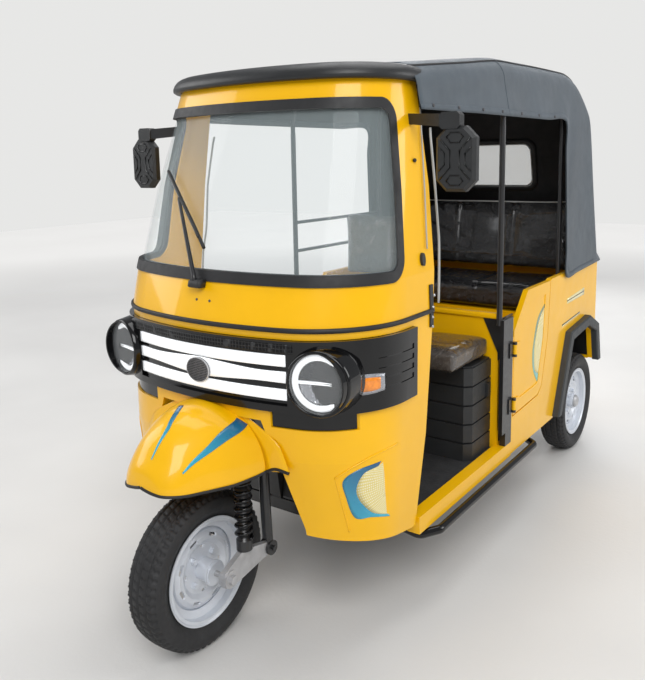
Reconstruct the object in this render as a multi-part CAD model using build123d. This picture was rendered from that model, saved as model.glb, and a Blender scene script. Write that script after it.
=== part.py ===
"""Three-wheeled passenger auto rickshaw, in millimetres.

+Z is up, the front faces -Y and +X is the vehicle's left. Everything is drawn with y = 0 at
the front axle; save() then moves it so that the origin lies on the ground under the middle
of the length.
"""
from build123d import *
import os
from math import cos, radians, sin, sqrt, tan

os.makedirs("parts", exist_ok=True)

# Overall sizes
WHEELBASE = 2200
TRACK = 880
REAR_TIP_Y = 2470
GUARD_NOSE_Y = -205
HALF_BODY = 515
CLEAR = 6

# Wheels
TYRE_R = 245
TYRE_W = 125
RIM_R = 168
RIM_W = 100
BEAD_R = 156
RIM_SHEET = 4
DISC_X = 22
HUB_R = 34
SEAT_GAP = 0.3
BEAD_X = RIM_W / 2 - 2 * RIM_SHEET - SEAT_GAP
AXLE_R = 9
SHAFT_GAP = 0.05
NUT_CIRCLE_R = 57
SLOT_CIRCLE_R = 113

# Floor and frame
FLOOR_Z = 330
SHEET = 8
MAT = 6
RAIL = 50
RAIL_X = 240
RAIL_FRONT_Y = 385
KICK_Y = 1720
KICK_RUN = 120
KICK_RISE = 70
FLOOR_FRONT_Y = 392
FLOOR_HALF = HALF_BODY - 45
SILL_TOP_Z = FLOOR_Z + 14

# Steering and front suspension
RAKE = 20
STEER_Y = 85
STEM_R = 18
HEAD_R = 32
HEAD_LOW_Z = 672
HEAD_HIGH_Z = 850
CROWN_Z = 625
FORK_X = 122
PIVOT_Y = 190
PIVOT_Z = 262
SHOCK_Y = 78
BAR_Z = 1030
BAR_HALF = 300

# Cab walls
WALL = 22
WAIST_Z = 1020
COWL_BOTTOM_Z = 322
SCREEN_LOW_Z = 1138
SCREEN_HIGH_Z = 1660
HEADER_Z = 1766
ROOF_T = 16

# Lamp band
BAND_LOW_Z = 772
BAND_HIGH_Z = 985
BAND_REAR_Y = 432
BAND_PROUD = 14
BAND_DEPTH = 40
CHIN_H = 52
LAMP_X = HALF_BODY - 113
LAMP_Y = 104
LAMP_Z = 872
LAMP_R = 92
LAMP_TURN = 15

# Passenger compartment
BULKHEAD_Y = 1180
BULKHEAD_Z = 862
RAIL_CAP = 22
POST_X = HALF_BODY - 23
POST_R = 11
POST_Y = 1168
POST_TOP_Z = 1600
KNEE_Z = 1640
STAY_X = HALF_BODY - 34
STAY_Y = 1882
TUB_FRONT_Y = 1256
TUB_REAR_Y = 2400
TUB_TOP_Z = 950
TUB_LOW_Z = 292
BENCH_Y = 1700
BENCH_Z = 785
SIDE_WALL = 24
HINGE_X = HALF_BODY + 9
HINGE_Y = TUB_FRONT_Y + 1
HINGE_Z = (500, 730)
PIN_R = 4.5

# Canopy
CANOPY_HALF = HALF_BODY + 13
CANVAS = 12
SHOULDER_R = 80
REAR_TOP = (2226, 1690)
REAR_LOW = (2408, 960)
REAR_SLOPE = (REAR_LOW[0] - REAR_TOP[0]) / (REAR_TOP[1] - REAR_LOW[1])
FRONT_SLOPE = 0.0661
CANOPY_FRONT_Y = 530
VALANCE_Z = 1632
CURTAIN_Y = 1822
HEM_Z = 936

ORIGIN_Y = (REAR_TIP_Y - TYRE_R) / 2


def save(name, *solids):
    """Write one node, moved so that the origin is under the middle of the length."""
    moved = [Pos(0, -ORIGIN_Y, 0) * s for s in solids]
    export_step(moved[0] if len(moved) == 1 else Compound(children=moved), f"parts/{name}.step")


def mirrored(solid):
    """The same piece on the vehicle's right side."""
    return mirror(solid, Plane.YZ)


def block(x0, x1, y0, y1, z0, z1):
    """A box between three pairs of limits."""
    return Pos((x0 + x1) / 2, (y0 + y1) / 2, (z0 + z1) / 2) * Box(x1 - x0, y1 - y0, z1 - z0)


def rod(start, end, radius):
    """A round bar between two points."""
    path = Vector(*end) - Vector(*start)
    plane = Plane(origin=start, z_dir=path)
    return extrude(plane * Circle(radius), path.length)


def tube_path(points, radius, bend):
    """A round tube along straight runs joined by bends."""
    path = FilletPolyline(*points, radius=bend)
    start = Plane(origin=path @ 0, z_dir=path % 0)
    return sweep(start * Circle(radius), path=path)


def side_plate(points, x0, x1):
    """A plate with an outline in y and z, between two x."""
    face = make_face(Plane.YZ * Polyline(*points, close=True))
    return Pos(x0, 0, 0) * extrude(face, x1 - x0, dir=(1, 0, 0))


# Plan sections of the cab shell
# columns: z, front y at the middle, bow of the front, half width, corner radius, rear y
LOWER_ROWS = [
    (COWL_BOTTOM_Z, 112, 85, HALF_BODY - 10, 215, 470),
    (620, 66, 100, HALF_BODY + 3, 260, 515),
    (WAIST_Z, 50, 120, HALF_BODY + 5, 310, 560),
]
UPPER_ROWS = [
    (WAIST_Z, 50, 120, HALF_BODY + 5, 310, 560),
    (1140, 88, 120, HALF_BODY + 1, 280, 572),
    (1400, 172, 110, HALF_BODY - 23, 265, 580),
    (HEADER_Z, 302, 100, HALF_BODY - 79, 235, 585),
]


def row_at(rows, z):
    """The plan section at one height, straight between its neighbours in the table."""
    low, high = next((a, b) for a, b in zip(rows, rows[1:]) if z <= b[0] or b is rows[-1])
    part = (z - low[0]) / (high[0] - low[0])
    return (z,) + tuple(a + (b - a) * part for a, b in zip(low[1:], high[1:]))


def plan(row, inset=0, rear_extra=0):
    """One plan section: a bowed front, two round corners and straight sides."""
    z, front, bow, half, corner, rear = row
    y, x, back = front + inset, half - inset, rear + rear_extra
    edge = ThreePointArc((-x, y + bow), (0, y), (x, y + bow))
    rest = Polyline((x, y + bow), (x, back), (-x, back), (-x, y + bow))
    face = make_face(Curve() + [edge, rest])
    face = fillet(face.vertices().sort_by(Axis.Y)[:2], corner - inset)
    return Pos(0, 0, z) * face


def skin(rows, outer, inner, low=None, high=None, rear_extra=0):
    """The part of the cab shell between two insets and two heights."""
    low = rows[0][0] if low is None else low
    high = rows[-1][0] if high is None else high
    zs = [low] + [r[0] for r in rows if low < r[0] < high] + [high]
    outside = loft([plan(row_at(rows, z), outer) for z in zs], ruled=True)
    zs[0], zs[-1] = low - 1, high + 1
    inside = loft([plan(row_at(rows, z), inner, 60) for z in zs], ruled=True)
    return outside - inside


def screen_tool(grow):
    """The windscreen's opening: a rounded rectangle that narrows from front to rear, so that
    it also cuts the round corners of the shell."""
    low, high = SCREEN_LOW_Z - grow, SCREEN_HIGH_Z + grow
    mid, tall = (low + high) / 2, high - low
    faces = []
    for y, half in ((-20, HALF_BODY + 400), (560, HALF_BODY - 180)):
        sketch = Plane(origin=(0, y, mid), x_dir=(1, 0, 0), z_dir=(0, -1, 0)) * Rectangle(
            2 * (half + grow), tall)
        faces.append(fillet(sketch.vertices(), 62 + grow))
    return loft(faces, ruled=True)


def steer_y(z):
    """y of the raked steering axis at one height."""
    return STEER_Y + (z - TYRE_R) * tan(radians(RAKE))


# Wheels

def tyre():
    """A tyre about the X axis: flat crown, sloped shoulders and bulged sidewalls."""
    half = TYRE_W / 2
    bead = BEAD_R + SEAT_GAP
    right = [(BEAD_X, bead), (BEAD_X, RIM_R + 2), (half, 206), (half - 4, 224),
             (half - 16, TYRE_R - 3), (half - 40, TYRE_R)]
    outline = right + [(-x, y) for x, y in reversed(right)]
    return revolve(make_face(Polyline(*outline, close=True)), Axis.X)


def slot(radius, angle, long, wide, depth=60):
    """An oblong hole through the wheel disc, its length across the radius."""
    tool = Plane.YZ * SlotOverall(long, wide)
    tool = Pos(-depth / 2, 0, 0) * extrude(tool, depth, dir=(1, 0, 0))
    return Rot(angle, 0, 0) * Pos(0, 0, radius) * tool


def rim(hub_in, hub_out):
    """A pressed steel wheel about the X axis with its hub: rolled flanges, drop centre,
    dished disc with two rings of slots, and four studs with nuts."""
    half = RIM_W / 2
    t = RIM_SHEET
    well = 132
    outline = [(half, RIM_R), (half, RIM_R - 3), (half - t, RIM_R - 8), (half - t, BEAD_R - t),
               (half - 26, BEAD_R - t - 2), (half - 34, well - t), (-half + 34, well - t),
               (-half + 26, BEAD_R - t - 2), (-half + t, BEAD_R - t), (-half + t, RIM_R - 8),
               (-half, RIM_R - 3), (-half, RIM_R), (-half + 4, RIM_R),
               (-half + 2 * t, RIM_R - 8), (-half + 2 * t, BEAD_R), (-half + 24, BEAD_R - 2),
               (-half + 32, well), (half - 32, well), (half - 24, BEAD_R - 2),
               (half - 2 * t, BEAD_R), (half - 2 * t, RIM_R - 8), (half - 4, RIM_R)]
    barrel = revolve(make_face(Polyline(*outline, close=True)), Axis.X)
    dish = [(DISC_X - 14, well - t), (DISC_X - 4, well - 12), (DISC_X + 4, well - 26),
            (DISC_X + 4, 92), (DISC_X - 6, 78), (DISC_X - 6, HUB_R - 4),
            (DISC_X - 12, HUB_R - 4), (DISC_X - 12, 80), (DISC_X - 2, 94),
            (DISC_X - 2, well - 28), (DISC_X - 10, well - 16), (DISC_X - 20, well - t)]
    disc = revolve(make_face(Polyline(*dish, close=True)), Axis.X)
    for i in range(8):
        disc -= slot(SLOT_CIRCLE_R - 8, 22.5 + 45 * i, 34, 11)
    for i in range(4):
        disc -= slot(72, 90 * i, 18, 9)
    nut = Plane.YZ * RegularPolygon(9.5, 6)
    nut = Pos(DISC_X - 7, 0, 0) * extrude(nut, 14, dir=(1, 0, 0))
    studs = [Rot(45 + 90 * i, 0, 0) * Pos(0, 0, NUT_CIRCLE_R) * nut for i in range(4)]
    hub = Rot(0, 90, 0) * Cylinder(HUB_R, hub_in + hub_out)
    hub = Pos((hub_out - hub_in) / 2, 0, 0) * hub
    lip = Pos(hub_out - 8, 0, 0) * Rot(0, 90, 0) * Cylinder(HUB_R + 5, 10)
    wheel = barrel + disc + hub + lip + studs
    bore = Rot(0, 90, 0) * Cylinder(AXLE_R + SHAFT_GAP, 400)
    return wheel - bore


def make_wheels():
    """The front wheel and the two rear wheels, each as a tyre and a rim."""
    front = Pos(0, 0, TYRE_R)
    save("front_tyre", front * tyre())
    save("front_rim", front * rim(66, 72))
    rear_tyre = tyre()
    drum = Pos(-34, 0, 0) * Rot(0, 90, 0) * Cylinder(88, 40)
    drum -= Rot(0, 90, 0) * Cylinder(AXLE_R + SHAFT_GAP, 400)
    rear_rim = rim(30, 44) + drum
    left = Pos(TRACK / 2, WHEELBASE, TYRE_R)
    save("rear_tyre_left", left * rear_tyre)
    save("rear_rim_left", left * rear_rim)
    save("rear_tyre_right", mirrored(left * rear_tyre))
    save("rear_rim_right", mirrored(left * rear_rim))


# Steering and front suspension

def make_fork():
    """Leading links pivot behind the axle, each with a coil-over shock up to the crown."""
    top_y = steer_y(CROWN_Z)
    crown = block(-FORK_X - 24, FORK_X + 24, SHOCK_Y - 26, top_y + 34, CROWN_Z - 14, CROWN_Z)
    crown = fillet(crown.edges().filter_by(Axis.Z), 20)
    axis = (0, sin(radians(RAKE)), cos(radians(RAKE)))
    foot = (0, steer_y(CROWN_Z - 6), CROWN_Z - 6)
    head = (0, steer_y(BAR_Z + 12), BAR_Z + 12)
    stem = rod(foot, head, STEM_R)
    lower_race = Vector(*foot) + Vector(*axis) * 26
    stem += rod(tuple(lower_race), tuple(lower_race + Vector(*axis) * 10), HEAD_R - 2)
    frame = crown + stem

    legs, links, shocks = [], [], []
    for side in (1, -1):
        x = side * FORK_X
        knee = (x, PIVOT_Y - 8, 420)
        leg = tube_path([(x, top_y - 44, CROWN_Z - 8), (x, top_y - 44, 560), knee,
                         (x, PIVOT_Y, PIVOT_Z)], 17, 40)
        ear = Pos(x, PIVOT_Y, PIVOT_Z) * Rot(0, 90, 0) * Cylinder(24, 38)
        slot_gap = block(x - 9.3, x + 9.3, PIVOT_Y - 60, PIVOT_Y + 30, PIVOT_Z - 40, PIVOT_Z + 32)
        pin = Pos(x, PIVOT_Y, PIVOT_Z) * Rot(0, 90, 0) * Cylinder(8, 56)
        legs.append(leg + ear - slot_gap + pin)

        run = Polyline((PIVOT_Y + 20, PIVOT_Z - 14), (PIVOT_Y + 20, PIVOT_Z + 14),
                       (SHOCK_Y + 26, 300), (SHOCK_Y - 26, 304), (-24, TYRE_R + 24),
                       (-26, TYRE_R - 22), (40, TYRE_R - 26), close=True)
        web = make_face(Plane.YZ * run)
        link = Pos(x - 9, 0, 0) * extrude(web, 18, dir=(1, 0, 0))
        link = fillet(link.edges().filter_by(Axis.X), 9)
        boss = Pos(x, 0, TYRE_R) * Rot(0, 90, 0) * Cylinder(27, 30)
        link = link + boss
        link -= Pos(x, 0, TYRE_R) * Rot(0, 90, 0) * Cylinder(AXLE_R, 60)
        link -= Pos(x, PIVOT_Y, PIVOT_Z) * Rot(0, 90, 0) * Cylinder(8, 60)
        links.append(link)

        low, high = 303, CROWN_Z - 14
        coil_low, turns, pitch = low + 46, 9, 24
        outline = [(0, low), (13, low), (13, low + 2), (25, low + 2), (25, low + 36)]
        for i in range(turns):
            z = coil_low + pitch * i
            outline += [(16, z), (27, z + pitch / 2)]
        outline += [(16, high - 28), (28, high - 25), (28, high), (0, high)]
        face = make_face(Plane.XZ * Polyline(*outline, close=True))
        shocks.append(Pos(x, SHOCK_Y, 0) * revolve(face, Axis.Z))
    save("steering_fork", frame + legs)
    save("front_shocks", *shocks)
    axle = Pos(0, 0, TYRE_R) * Rot(0, 90, 0) * Cylinder(AXLE_R, 2 * FORK_X + 44)
    for side in (1, -1):
        nut = Plane.YZ * RegularPolygon(15, 6)
        nut = extrude(nut, 12, dir=(1, 0, 0))
        axle += Pos(side * (FORK_X + 21) - 6, 0, TYRE_R) * nut
    save("fork_links", links[0] + links[1] + axle)

    bar_y = steer_y(BAR_Z)
    bar = tube_path([(-BAR_HALF, bar_y + 60, BAR_Z + 10), (-130, bar_y + 6, BAR_Z + 10),
                     (130, bar_y + 6, BAR_Z + 10), (BAR_HALF, bar_y + 60, BAR_Z + 10)], 11, 60)
    clamp = block(-34, 34, bar_y - 26, bar_y + 26, BAR_Z - 8, BAR_Z + 20)
    grips = []
    for side in (1, -1):
        a = Vector(side * BAR_HALF, bar_y + 60, BAR_Z + 10)
        b = Vector(side * 130, bar_y + 6, BAR_Z + 10)
        d = (b - a).normalized()
        grips.append(rod(tuple(a), tuple(a + d * 110), 16))
    pod = block(-62, 62, bar_y - 20, bar_y + 40, BAR_Z + 18, BAR_Z + 58)
    pod = fillet(pod.edges().filter_by(Axis.Z), 18)
    save("handlebar", bar + clamp + grips + pod - rod(foot, head, STEM_R + SEAT_GAP))


# Frame, floor and rear axle

def rail_line(y):
    """Height of a rail's underside at y: level, then kicked up over the rear axle."""
    low = FLOOR_Z - SHEET - RAIL
    part = min(max((y - KICK_Y) / KICK_RUN, 0), 1)
    return low + KICK_RISE * part


def make_frame():
    """Two rails with a rear kick-up, cross members, and a braced head tube."""
    end = TUB_REAR_Y - 20
    ys = [RAIL_FRONT_Y, KICK_Y, KICK_Y + KICK_RUN, end]
    under = [(y, rail_line(y)) for y in ys]
    over = [(y, rail_line(y) + RAIL) for y in reversed(ys)]
    rails = [side_plate(under + over, s * RAIL_X - RAIL / 2, s * RAIL_X + RAIL / 2)
             for s in (1, -1)]
    frame = rails[0] + rails[1]
    for y in (RAIL_FRONT_Y + 25, 900, BULKHEAD_Y, 1500, 1900, end - 25):
        z = rail_line(y)
        frame += block(-RAIL_X, RAIL_X, y - 20, y + 20, z + 4, z + RAIL - 4)
    for y in (620, BULKHEAD_Y, 1600):
        z = rail_line(y)
        frame += block(-FLOOR_HALF + 2, FLOOR_HALF - 2, y - 18, y + 18, z + 10, z + RAIL)
    low = (0, steer_y(HEAD_LOW_Z), HEAD_LOW_Z)
    high = (0, steer_y(HEAD_HIGH_Z), HEAD_HIGH_Z)
    head = rod(low, high, HEAD_R)
    down = side_plate([(steer_y(HEAD_LOW_Z) + 22, HEAD_LOW_Z + 12),
                       (steer_y(HEAD_HIGH_Z) + 20, HEAD_HIGH_Z - 10),
                       (400, 560), (RAIL_FRONT_Y + 50, rail_line(0) + RAIL),
                       (RAIL_FRONT_Y, rail_line(0) + RAIL), (348, 560)], -20, 20)
    bore = rod((0, steer_y(HEAD_LOW_Z - 40), HEAD_LOW_Z - 40),
               (0, steer_y(HEAD_HIGH_Z + 40), HEAD_HIGH_Z + 40), STEM_R + SHAFT_GAP)
    save("chassis_frame", frame + (head + down - bore))


def make_floor():
    """Flat floor from the toe board to the bench, with a mat in the cab."""
    pan = block(-FLOOR_HALF, FLOOR_HALF, FLOOR_FRONT_Y, BENCH_Y, FLOOR_Z - SHEET, FLOOR_Z)
    mat = block(-FLOOR_HALF + 8, FLOOR_HALF - 8, FLOOR_FRONT_Y + 16, BULKHEAD_Y - 2,
                FLOOR_Z, FLOOR_Z + MAT)
    rear = block(-FLOOR_HALF + 8, FLOOR_HALF - 8, BULKHEAD_Y + SHEET + 12, BENCH_Y - 2,
                 FLOOR_Z, FLOOR_Z + MAT)
    notch = block(-24, 24, 300, RAIL_FRONT_Y + RAIL + 8, FLOOR_Z - SHEET - 1, 600)
    save("floor_mat", mat - notch, rear)
    lean = 30
    toe = side_plate([(FLOOR_FRONT_Y, FLOOR_Z), (FLOOR_FRONT_Y + 12, FLOOR_Z),
                      (FLOOR_FRONT_Y + 12 + lean, 640), (FLOOR_FRONT_Y + lean, 640)],
                     -FLOOR_HALF, FLOOR_HALF)
    save("floor_pan", pan + toe - notch)


def make_rear_axle():
    """Axle tube with the differential, a drive motor ahead of it, and two leaf packs."""
    y, z = WHEELBASE, TYRE_R
    inner = TRACK / 2 - 60
    tube = Pos(0, y, z) * Rot(0, 90, 0) * Cylinder(30, 2 * (inner - 10))
    case = Pos(40, y, z) * Rot(0, 90, 0) * Cylinder(84, 120)
    case = fillet(case.edges(), 22)
    plates = [Pos(s * (inner - 16), y, z) * Rot(0, 90, 0) * Cylinder(84, 8) for s in (1, -1)]
    shaft = Pos(0, y, z) * Rot(0, 90, 0) * Cylinder(AXLE_R, TRACK + 84)
    motor = Pos(40, y - 170, z + 6) * Rot(90, 0, 0) * Cylinder(74, 190)
    motor = chamfer(motor.edges(), 8)
    fins = [Pos(40, y - 110 - 20 * i, z + 6) * Rot(90, 0, 0) * Cylinder(79, 5) for i in range(6)]
    save("rear_axle", tube + case + plates + shaft + motor + fins)

    leaves = []
    ahead, behind = 255, 160
    eye_z = rail_line(y) - 26
    for side in (1, -1):
        x = side * RAIL_X
        pack = None
        for i, reach in enumerate((ahead, 190, 120)):
            top = z + 31 + 21 - 7 * i
            ends = (y - reach, y + min(reach, behind))
            rise = (eye_z - (z + 52)) * (reach / ahead) ** 2
            arc = ThreePointArc((ends[0], top + rise), (y, top), (ends[1], top + rise * 0.8))
            lower = ThreePointArc((ends[1], top - 7 + rise * 0.8), (y, top - 7),
                                  (ends[0], top - 7 + rise))
            sides = [Line(arc @ 1, lower @ 0), Line(lower @ 1, arc @ 0)]
            face = make_face(Plane.YZ * (Curve() + [arc, lower] + sides))
            leaf = Pos(x - 25, 0, 0) * extrude(face, 50, dir=(1, 0, 0))
            pack = leaf if pack is None else pack + leaf
        pack += block(x - 32, x + 32, y - 34, y + 34, z + 30.3, z + 36)
        for end, tall in ((y - ahead, eye_z), (y + behind, eye_z - 4)):
            pack += Pos(x, end, tall - 2) * Rot(0, 90, 0) * Cylinder(13, 50)
            for s in (1, -1):
                pack += block(x + s * 28.5 - 3.5, x + s * 28.5 + 3.5, end - 16, end + 16,
                              tall - 16, rail_line(y) + 4)
        leaves.append(pack)
    save("leaf_springs", *leaves)


# Cab shell

def chins(outer, inner, grow):
    """The two dark panels below the lamps, between two insets of the shell."""
    low = BAND_LOW_Z - CHIN_H
    panel = skin(LOWER_ROWS, outer, inner, low - grow, BAND_LOW_Z + grow)
    panel -= block(-240 + grow, 240 - grow, -200, 300, 600, 900)
    return panel - block(-700, 700, 205 + grow, 900, 600, 900)


def mouth():
    """The opening in the cowl for the front wheel, between the two leg shields."""
    outline = [(-330, 200), (-318, 400), (-268, 575), (-205, 735), (205, 735), (268, 575),
               (318, 400), (330, 200)]
    face = make_face(Plane.XZ * Polyline(*outline, close=True))
    return Pos(0, 320, 0) * extrude(face, 500, dir=(0, -1, 0))


def make_cab():
    """Lower cowl with leg shields, and the upper surround of the windscreen."""
    cowl = skin(LOWER_ROWS, 0, WALL)
    cowl -= skin(LOWER_ROWS, -BAND_PROUD - 20, BAND_DEPTH - BAND_PROUD + 1,
                 BAND_LOW_Z - 1, BAND_HIGH_Z + 1) - block(-700, 700, BAND_REAR_Y + 1, 900, 600, 1200)
    cowl -= chins(-10, WALL + 5, 1)
    cowl -= mouth()
    slope = side_plate([(0, 300), (0, 405), (150, 378), (470, 318), (600, 300)], -700, 700)
    cowl -= slope
    save("front_cowl", cowl)

    hollow = [WAIST_Z - 1] + [r[0] for r in UPPER_ROWS[1:-1]] + [HEADER_Z - ROOF_T]
    upper = loft([plan(r) for r in UPPER_ROWS], ruled=True)
    upper -= loft([plan(row_at(UPPER_ROWS, z), WALL, 60) for z in hollow], ruled=True)
    half = UPPER_ROWS[-1][3] - WALL - 10
    upper -= block(-half, half, 400, 900, HEADER_Z - ROOF_T - 10, HEADER_Z + 10)
    save("windscreen_surround", upper - screen_tool(-6))

    glass = skin(UPPER_ROWS, 8, 13, SCREEN_LOW_Z - 60, SCREEN_HIGH_Z + 60)
    save("windscreen", glass & screen_tool(-12))
    seal = skin(UPPER_ROWS, -5, WALL - 4, SCREEN_LOW_Z - 60, SCREEN_HIGH_Z + 60)
    seal = (seal & screen_tool(6)) - screen_tool(-26)
    seal -= skin(UPPER_ROWS, 7.7, 13.3, SCREEN_LOW_Z - 70, SCREEN_HIGH_Z + 70) & screen_tool(-11.7)
    seal -= skin(UPPER_ROWS, 0, WALL, SCREEN_LOW_Z - 70, SCREEN_HIGH_Z + 70) - screen_tool(-6)
    save("windscreen_gasket", seal)

    strip = skin(LOWER_ROWS, -6, 0, WAIST_Z - 14, WAIST_Z)
    save("waist_moulding", strip)

    lip = skin(UPPER_ROWS, -28, -SEAT_GAP, HEADER_Z - 46, HEADER_Z)
    lip -= block(-700, 700, CANOPY_FRONT_Y - 2, 900, 1500, 1900)
    save("visor", lip)

    shelf = skin(UPPER_ROWS, WALL + SEAT_GAP, WALL + 50, 1092, 1104)
    shelf -= block(-700, 700, 330, 900, 1000, 1200)
    save("dash_shelf", shelf)


def make_lamps():
    """The black band round the nose with its lamps, light bars, vents and indicators."""
    low, high = BAND_LOW_Z, BAND_HIGH_Z
    behind = block(-700, 700, BAND_REAR_Y, 900, 600, 1200)
    band = skin(LOWER_ROWS, -BAND_PROUD, BAND_DEPTH - BAND_PROUD, low, high) - behind
    chin = chins(6, WALL, 0)
    window = block(-305, 305, -100, 260, low + 22, high - 34)
    band -= skin(LOWER_ROWS, -BAND_PROUD - 5, 2 - BAND_PROUD + 8, low + 10, high - 10) & window
    lamp_frames = [Pos(s * LAMP_X, LAMP_Y, LAMP_Z) * Rot(90, 0, s * LAMP_TURN) for s in (1, -1)]
    for i in range(4):
        z = low + 62 + 30 * i
        vent = skin(LOWER_ROWS, -BAND_PROUD - 5, 3 - BAND_PROUD, z, z + 16)
        band -= vent & (block(-700, 700, 250, BAND_REAR_Y - 22, z, z + 16))

    bezels, lenses, rings = [], [], []
    for frame in lamp_frames:
        back = Pos(0, 0, -38) * Cylinder(LAMP_R, 108)
        cup = frame * Pos(0, 0, 8) * Cylinder(LAMP_R - 5, 24)
        band -= frame * Pos(0, 0, 30) * Cylinder(LAMP_R, 60)
        band -= cup
        bezels.append(frame * back - cup)
        lens = Pos(0, 0, 16.5) * Cylinder(LAMP_R - 5.5, 5)
        lens = fillet(lens.edges().group_by(Axis.Z)[-1], 4)
        lenses.append(frame * lens)
        ring = Pos(0, 0, 5) * (Cylinder(LAMP_R - 8, 14) - Cylinder(LAMP_R - 27, 14))
        bar = Pos(0, 0, 5) * Box(2 * LAMP_R - 40, 13, 12)
        rings.append(frame * (ring + bar))
    save("lamp_band", band + chin + bezels)
    save("headlamp_lenses", *lenses)

    bars = []
    for i in range(3):
        z = low + 30 + 46 * i
        bars.append(skin(LOWER_ROWS, -BAND_PROUD + 2, -BAND_PROUD + 9.5, z, z + 32)
                    & block(-298, 298, -100, 260, z, z + 32))
    middle = block(-110, 110, -100, 200, low + 66, low + 120)
    middle = fillet(middle.edges().filter_by(Axis.Y), 24)
    patch = skin(LOWER_ROWS, -BAND_PROUD - 1, -BAND_PROUD + 8, low + 66, low + 120) & middle
    bars[1] = bars[1] + patch
    save("led_lights", *bars, *rings)
    face_y = row_at(LOWER_ROWS, low + 93)[1] - BAND_PROUD - 2.5
    badge = Plane(origin=(0, face_y, low + 93), x_dir=(1, 0, 0), z_dir=(0, -1, 0)) * Ellipse(46, 38)
    save("emblem_disc", extrude(badge, 8))

    marks = []
    for s in (1, -1):
        lamp = skin(LOWER_ROWS, -BAND_PROUD - 5, -BAND_PROUD - SEAT_GAP, LAMP_Z - 26, LAMP_Z + 12)
        span = block(*sorted((s * 460, s * 700)), 198, 272, LAMP_Z - 26, LAMP_Z + 12)
        marks.append(lamp & span)
    save("indicators", *marks)


def make_mudguard():
    """A beak over the front wheel, lofted through half ellipses."""
    # columns: y, half width, rim z, crown z
    rows = [(GUARD_NOSE_Y, 50, 575, 605), (-175, 100, 568, 665), (-110, 130, 562, 735),
            (-10, 180, 562, 768), (108, 235, 588, 768)]

    def shape(inset):
        faces = []
        for y, half, low, high in rows:
            plane = Plane(origin=(0, y, low), x_dir=(1, 0, 0), z_dir=(0, -1, 0))
            arc = EllipticalCenterArc((0, 0), half - inset, high - low - inset, 0, arc_size=180)
            faces.append(plane * make_face(Curve() + [arc, Line(arc @ 1, arc @ 0)]))
        return loft(faces, ruled=True)

    outer = shape(0)
    guard = outer - Pos(0, 8, -6) * shape(6) - block(-230, 230, 80, 300, 400, 740)
    guard -= skin(LOWER_ROWS, -SEAT_GAP, WALL + 150, 560, 800) - mouth()
    save("front_mudguard", guard)


def make_wiper():
    """Wiper arm and blade, parked across the lower right of the screen."""
    arm = rod((-24, 62, 1132), (-177, 160, 1374), 5)
    blade = tube_path([(-25, 109, 1228), (-126, 148, 1329), (-215, 186, 1407),
                       (-281, 219, 1458)], 4, 20)
    saddle = rod((-165, 158, 1366), (-190, 168, 1382), 8)
    cap = block(-42, 2, 50, 78, 1113, 1139)
    save("wiper", arm + blade + saddle + cap)


# Body behind the cab

DOOR_OUTLINE = [(1268, 452), (1268, 800), (1414, 944), (1684, 944), (1662, 690),
                (1600, 492), (1556, 462)]
ARCH_OUTLINE = [(1760, 300), (1920, 668), (2224, 694), (2372, 628), (2424, 430)]
ARCH_BAND = 52


def make_sills():
    """Sill strips under the cab doorways, with a tubular step below each."""
    sill = block(FLOOR_HALF, HALF_BODY, 480, TUB_FRONT_Y, FLOOR_Z - 44, SILL_TOP_Z)
    save("sills", sill, mirrored(sill))
    x = HALF_BODY + 18
    bar = tube_path([(x - 180, 520, 284), (x - 40, 520, 262), (x, 590, 262), (x, 1480, 262),
                     (x - 70, 1540, 262), (x - 180, 1540, 284)], 15, 30)
    save("step_bars", bar, mirrored(bar))


def make_bulkhead():
    """Panel behind the driver, up to the passengers' knee rail."""
    half = HALF_BODY - SIDE_WALL - 6
    panel = block(-half, half, BULKHEAD_Y, BULKHEAD_Y + 14, FLOOR_Z, BULKHEAD_Z)
    for s in (1, -1):
        x0, x1 = sorted((s * FLOOR_HALF, s * half))
        panel -= block(x0, x1, BULKHEAD_Y, BULKHEAD_Y + 14, FLOOR_Z, SILL_TOP_Z)
    rail = block(-half, half, BULKHEAD_Y - 12, BULKHEAD_Y + 26, BULKHEAD_Z, BULKHEAD_Z + RAIL_CAP)
    rail = fillet(rail.edges().filter_by(Axis.X), 8)
    for s in (1, -1):
        rail -= rod((s * POST_X, POST_Y, 800), (s * POST_X, POST_Y, 1000), POST_R + SEAT_GAP)
    save("bulkhead", panel + rail)


def make_seat_box():
    """Ribbed box under the driver's seat, hollow, with the battery inside."""
    y0, y1, top = 985, BULKHEAD_Y - 0.5, 708
    tall = (top - FLOOR_Z - MAT) / 5
    half = HALF_BODY - 59
    box = None
    for i in range(5):
        z = FLOOR_Z + MAT + tall * i
        rib = block(-half, half, y0, y1, z, z + tall - 7)
        front = rib.edges().filter_by(Axis.Z).group_by(Axis.Y)[0]
        rib = chamfer(front, 26)
        core = block(-half + 7, half - 7, y0 + 7, y1, z + tall - 8, z + tall + (1 if i < 4 else -1))
        core = chamfer(core.edges().filter_by(Axis.Z).group_by(Axis.Y)[0], 26)
        box = rib + core if box is None else box + rib + core
    box -= block(-half + 40, half - 40, y0 + 34, y1 - 12, FLOOR_Z, top - 24)
    latch = block(half - 1, half + 10, y1 - 50, y1 - 22, 560, 612)
    save("seat_box", box + latch)
    save("battery_pack", block(76 - half, half - 76, y0 + 42, y1 - 20, FLOOR_Z + MAT, 640))


def pad(x0, x1, y0, y1, z0, z1, radius):
    """A cushion as a simple rounded block."""
    body = block(x0, x1, y0, y1, z0, z1)
    return fillet(body.edges(), radius)


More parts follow.
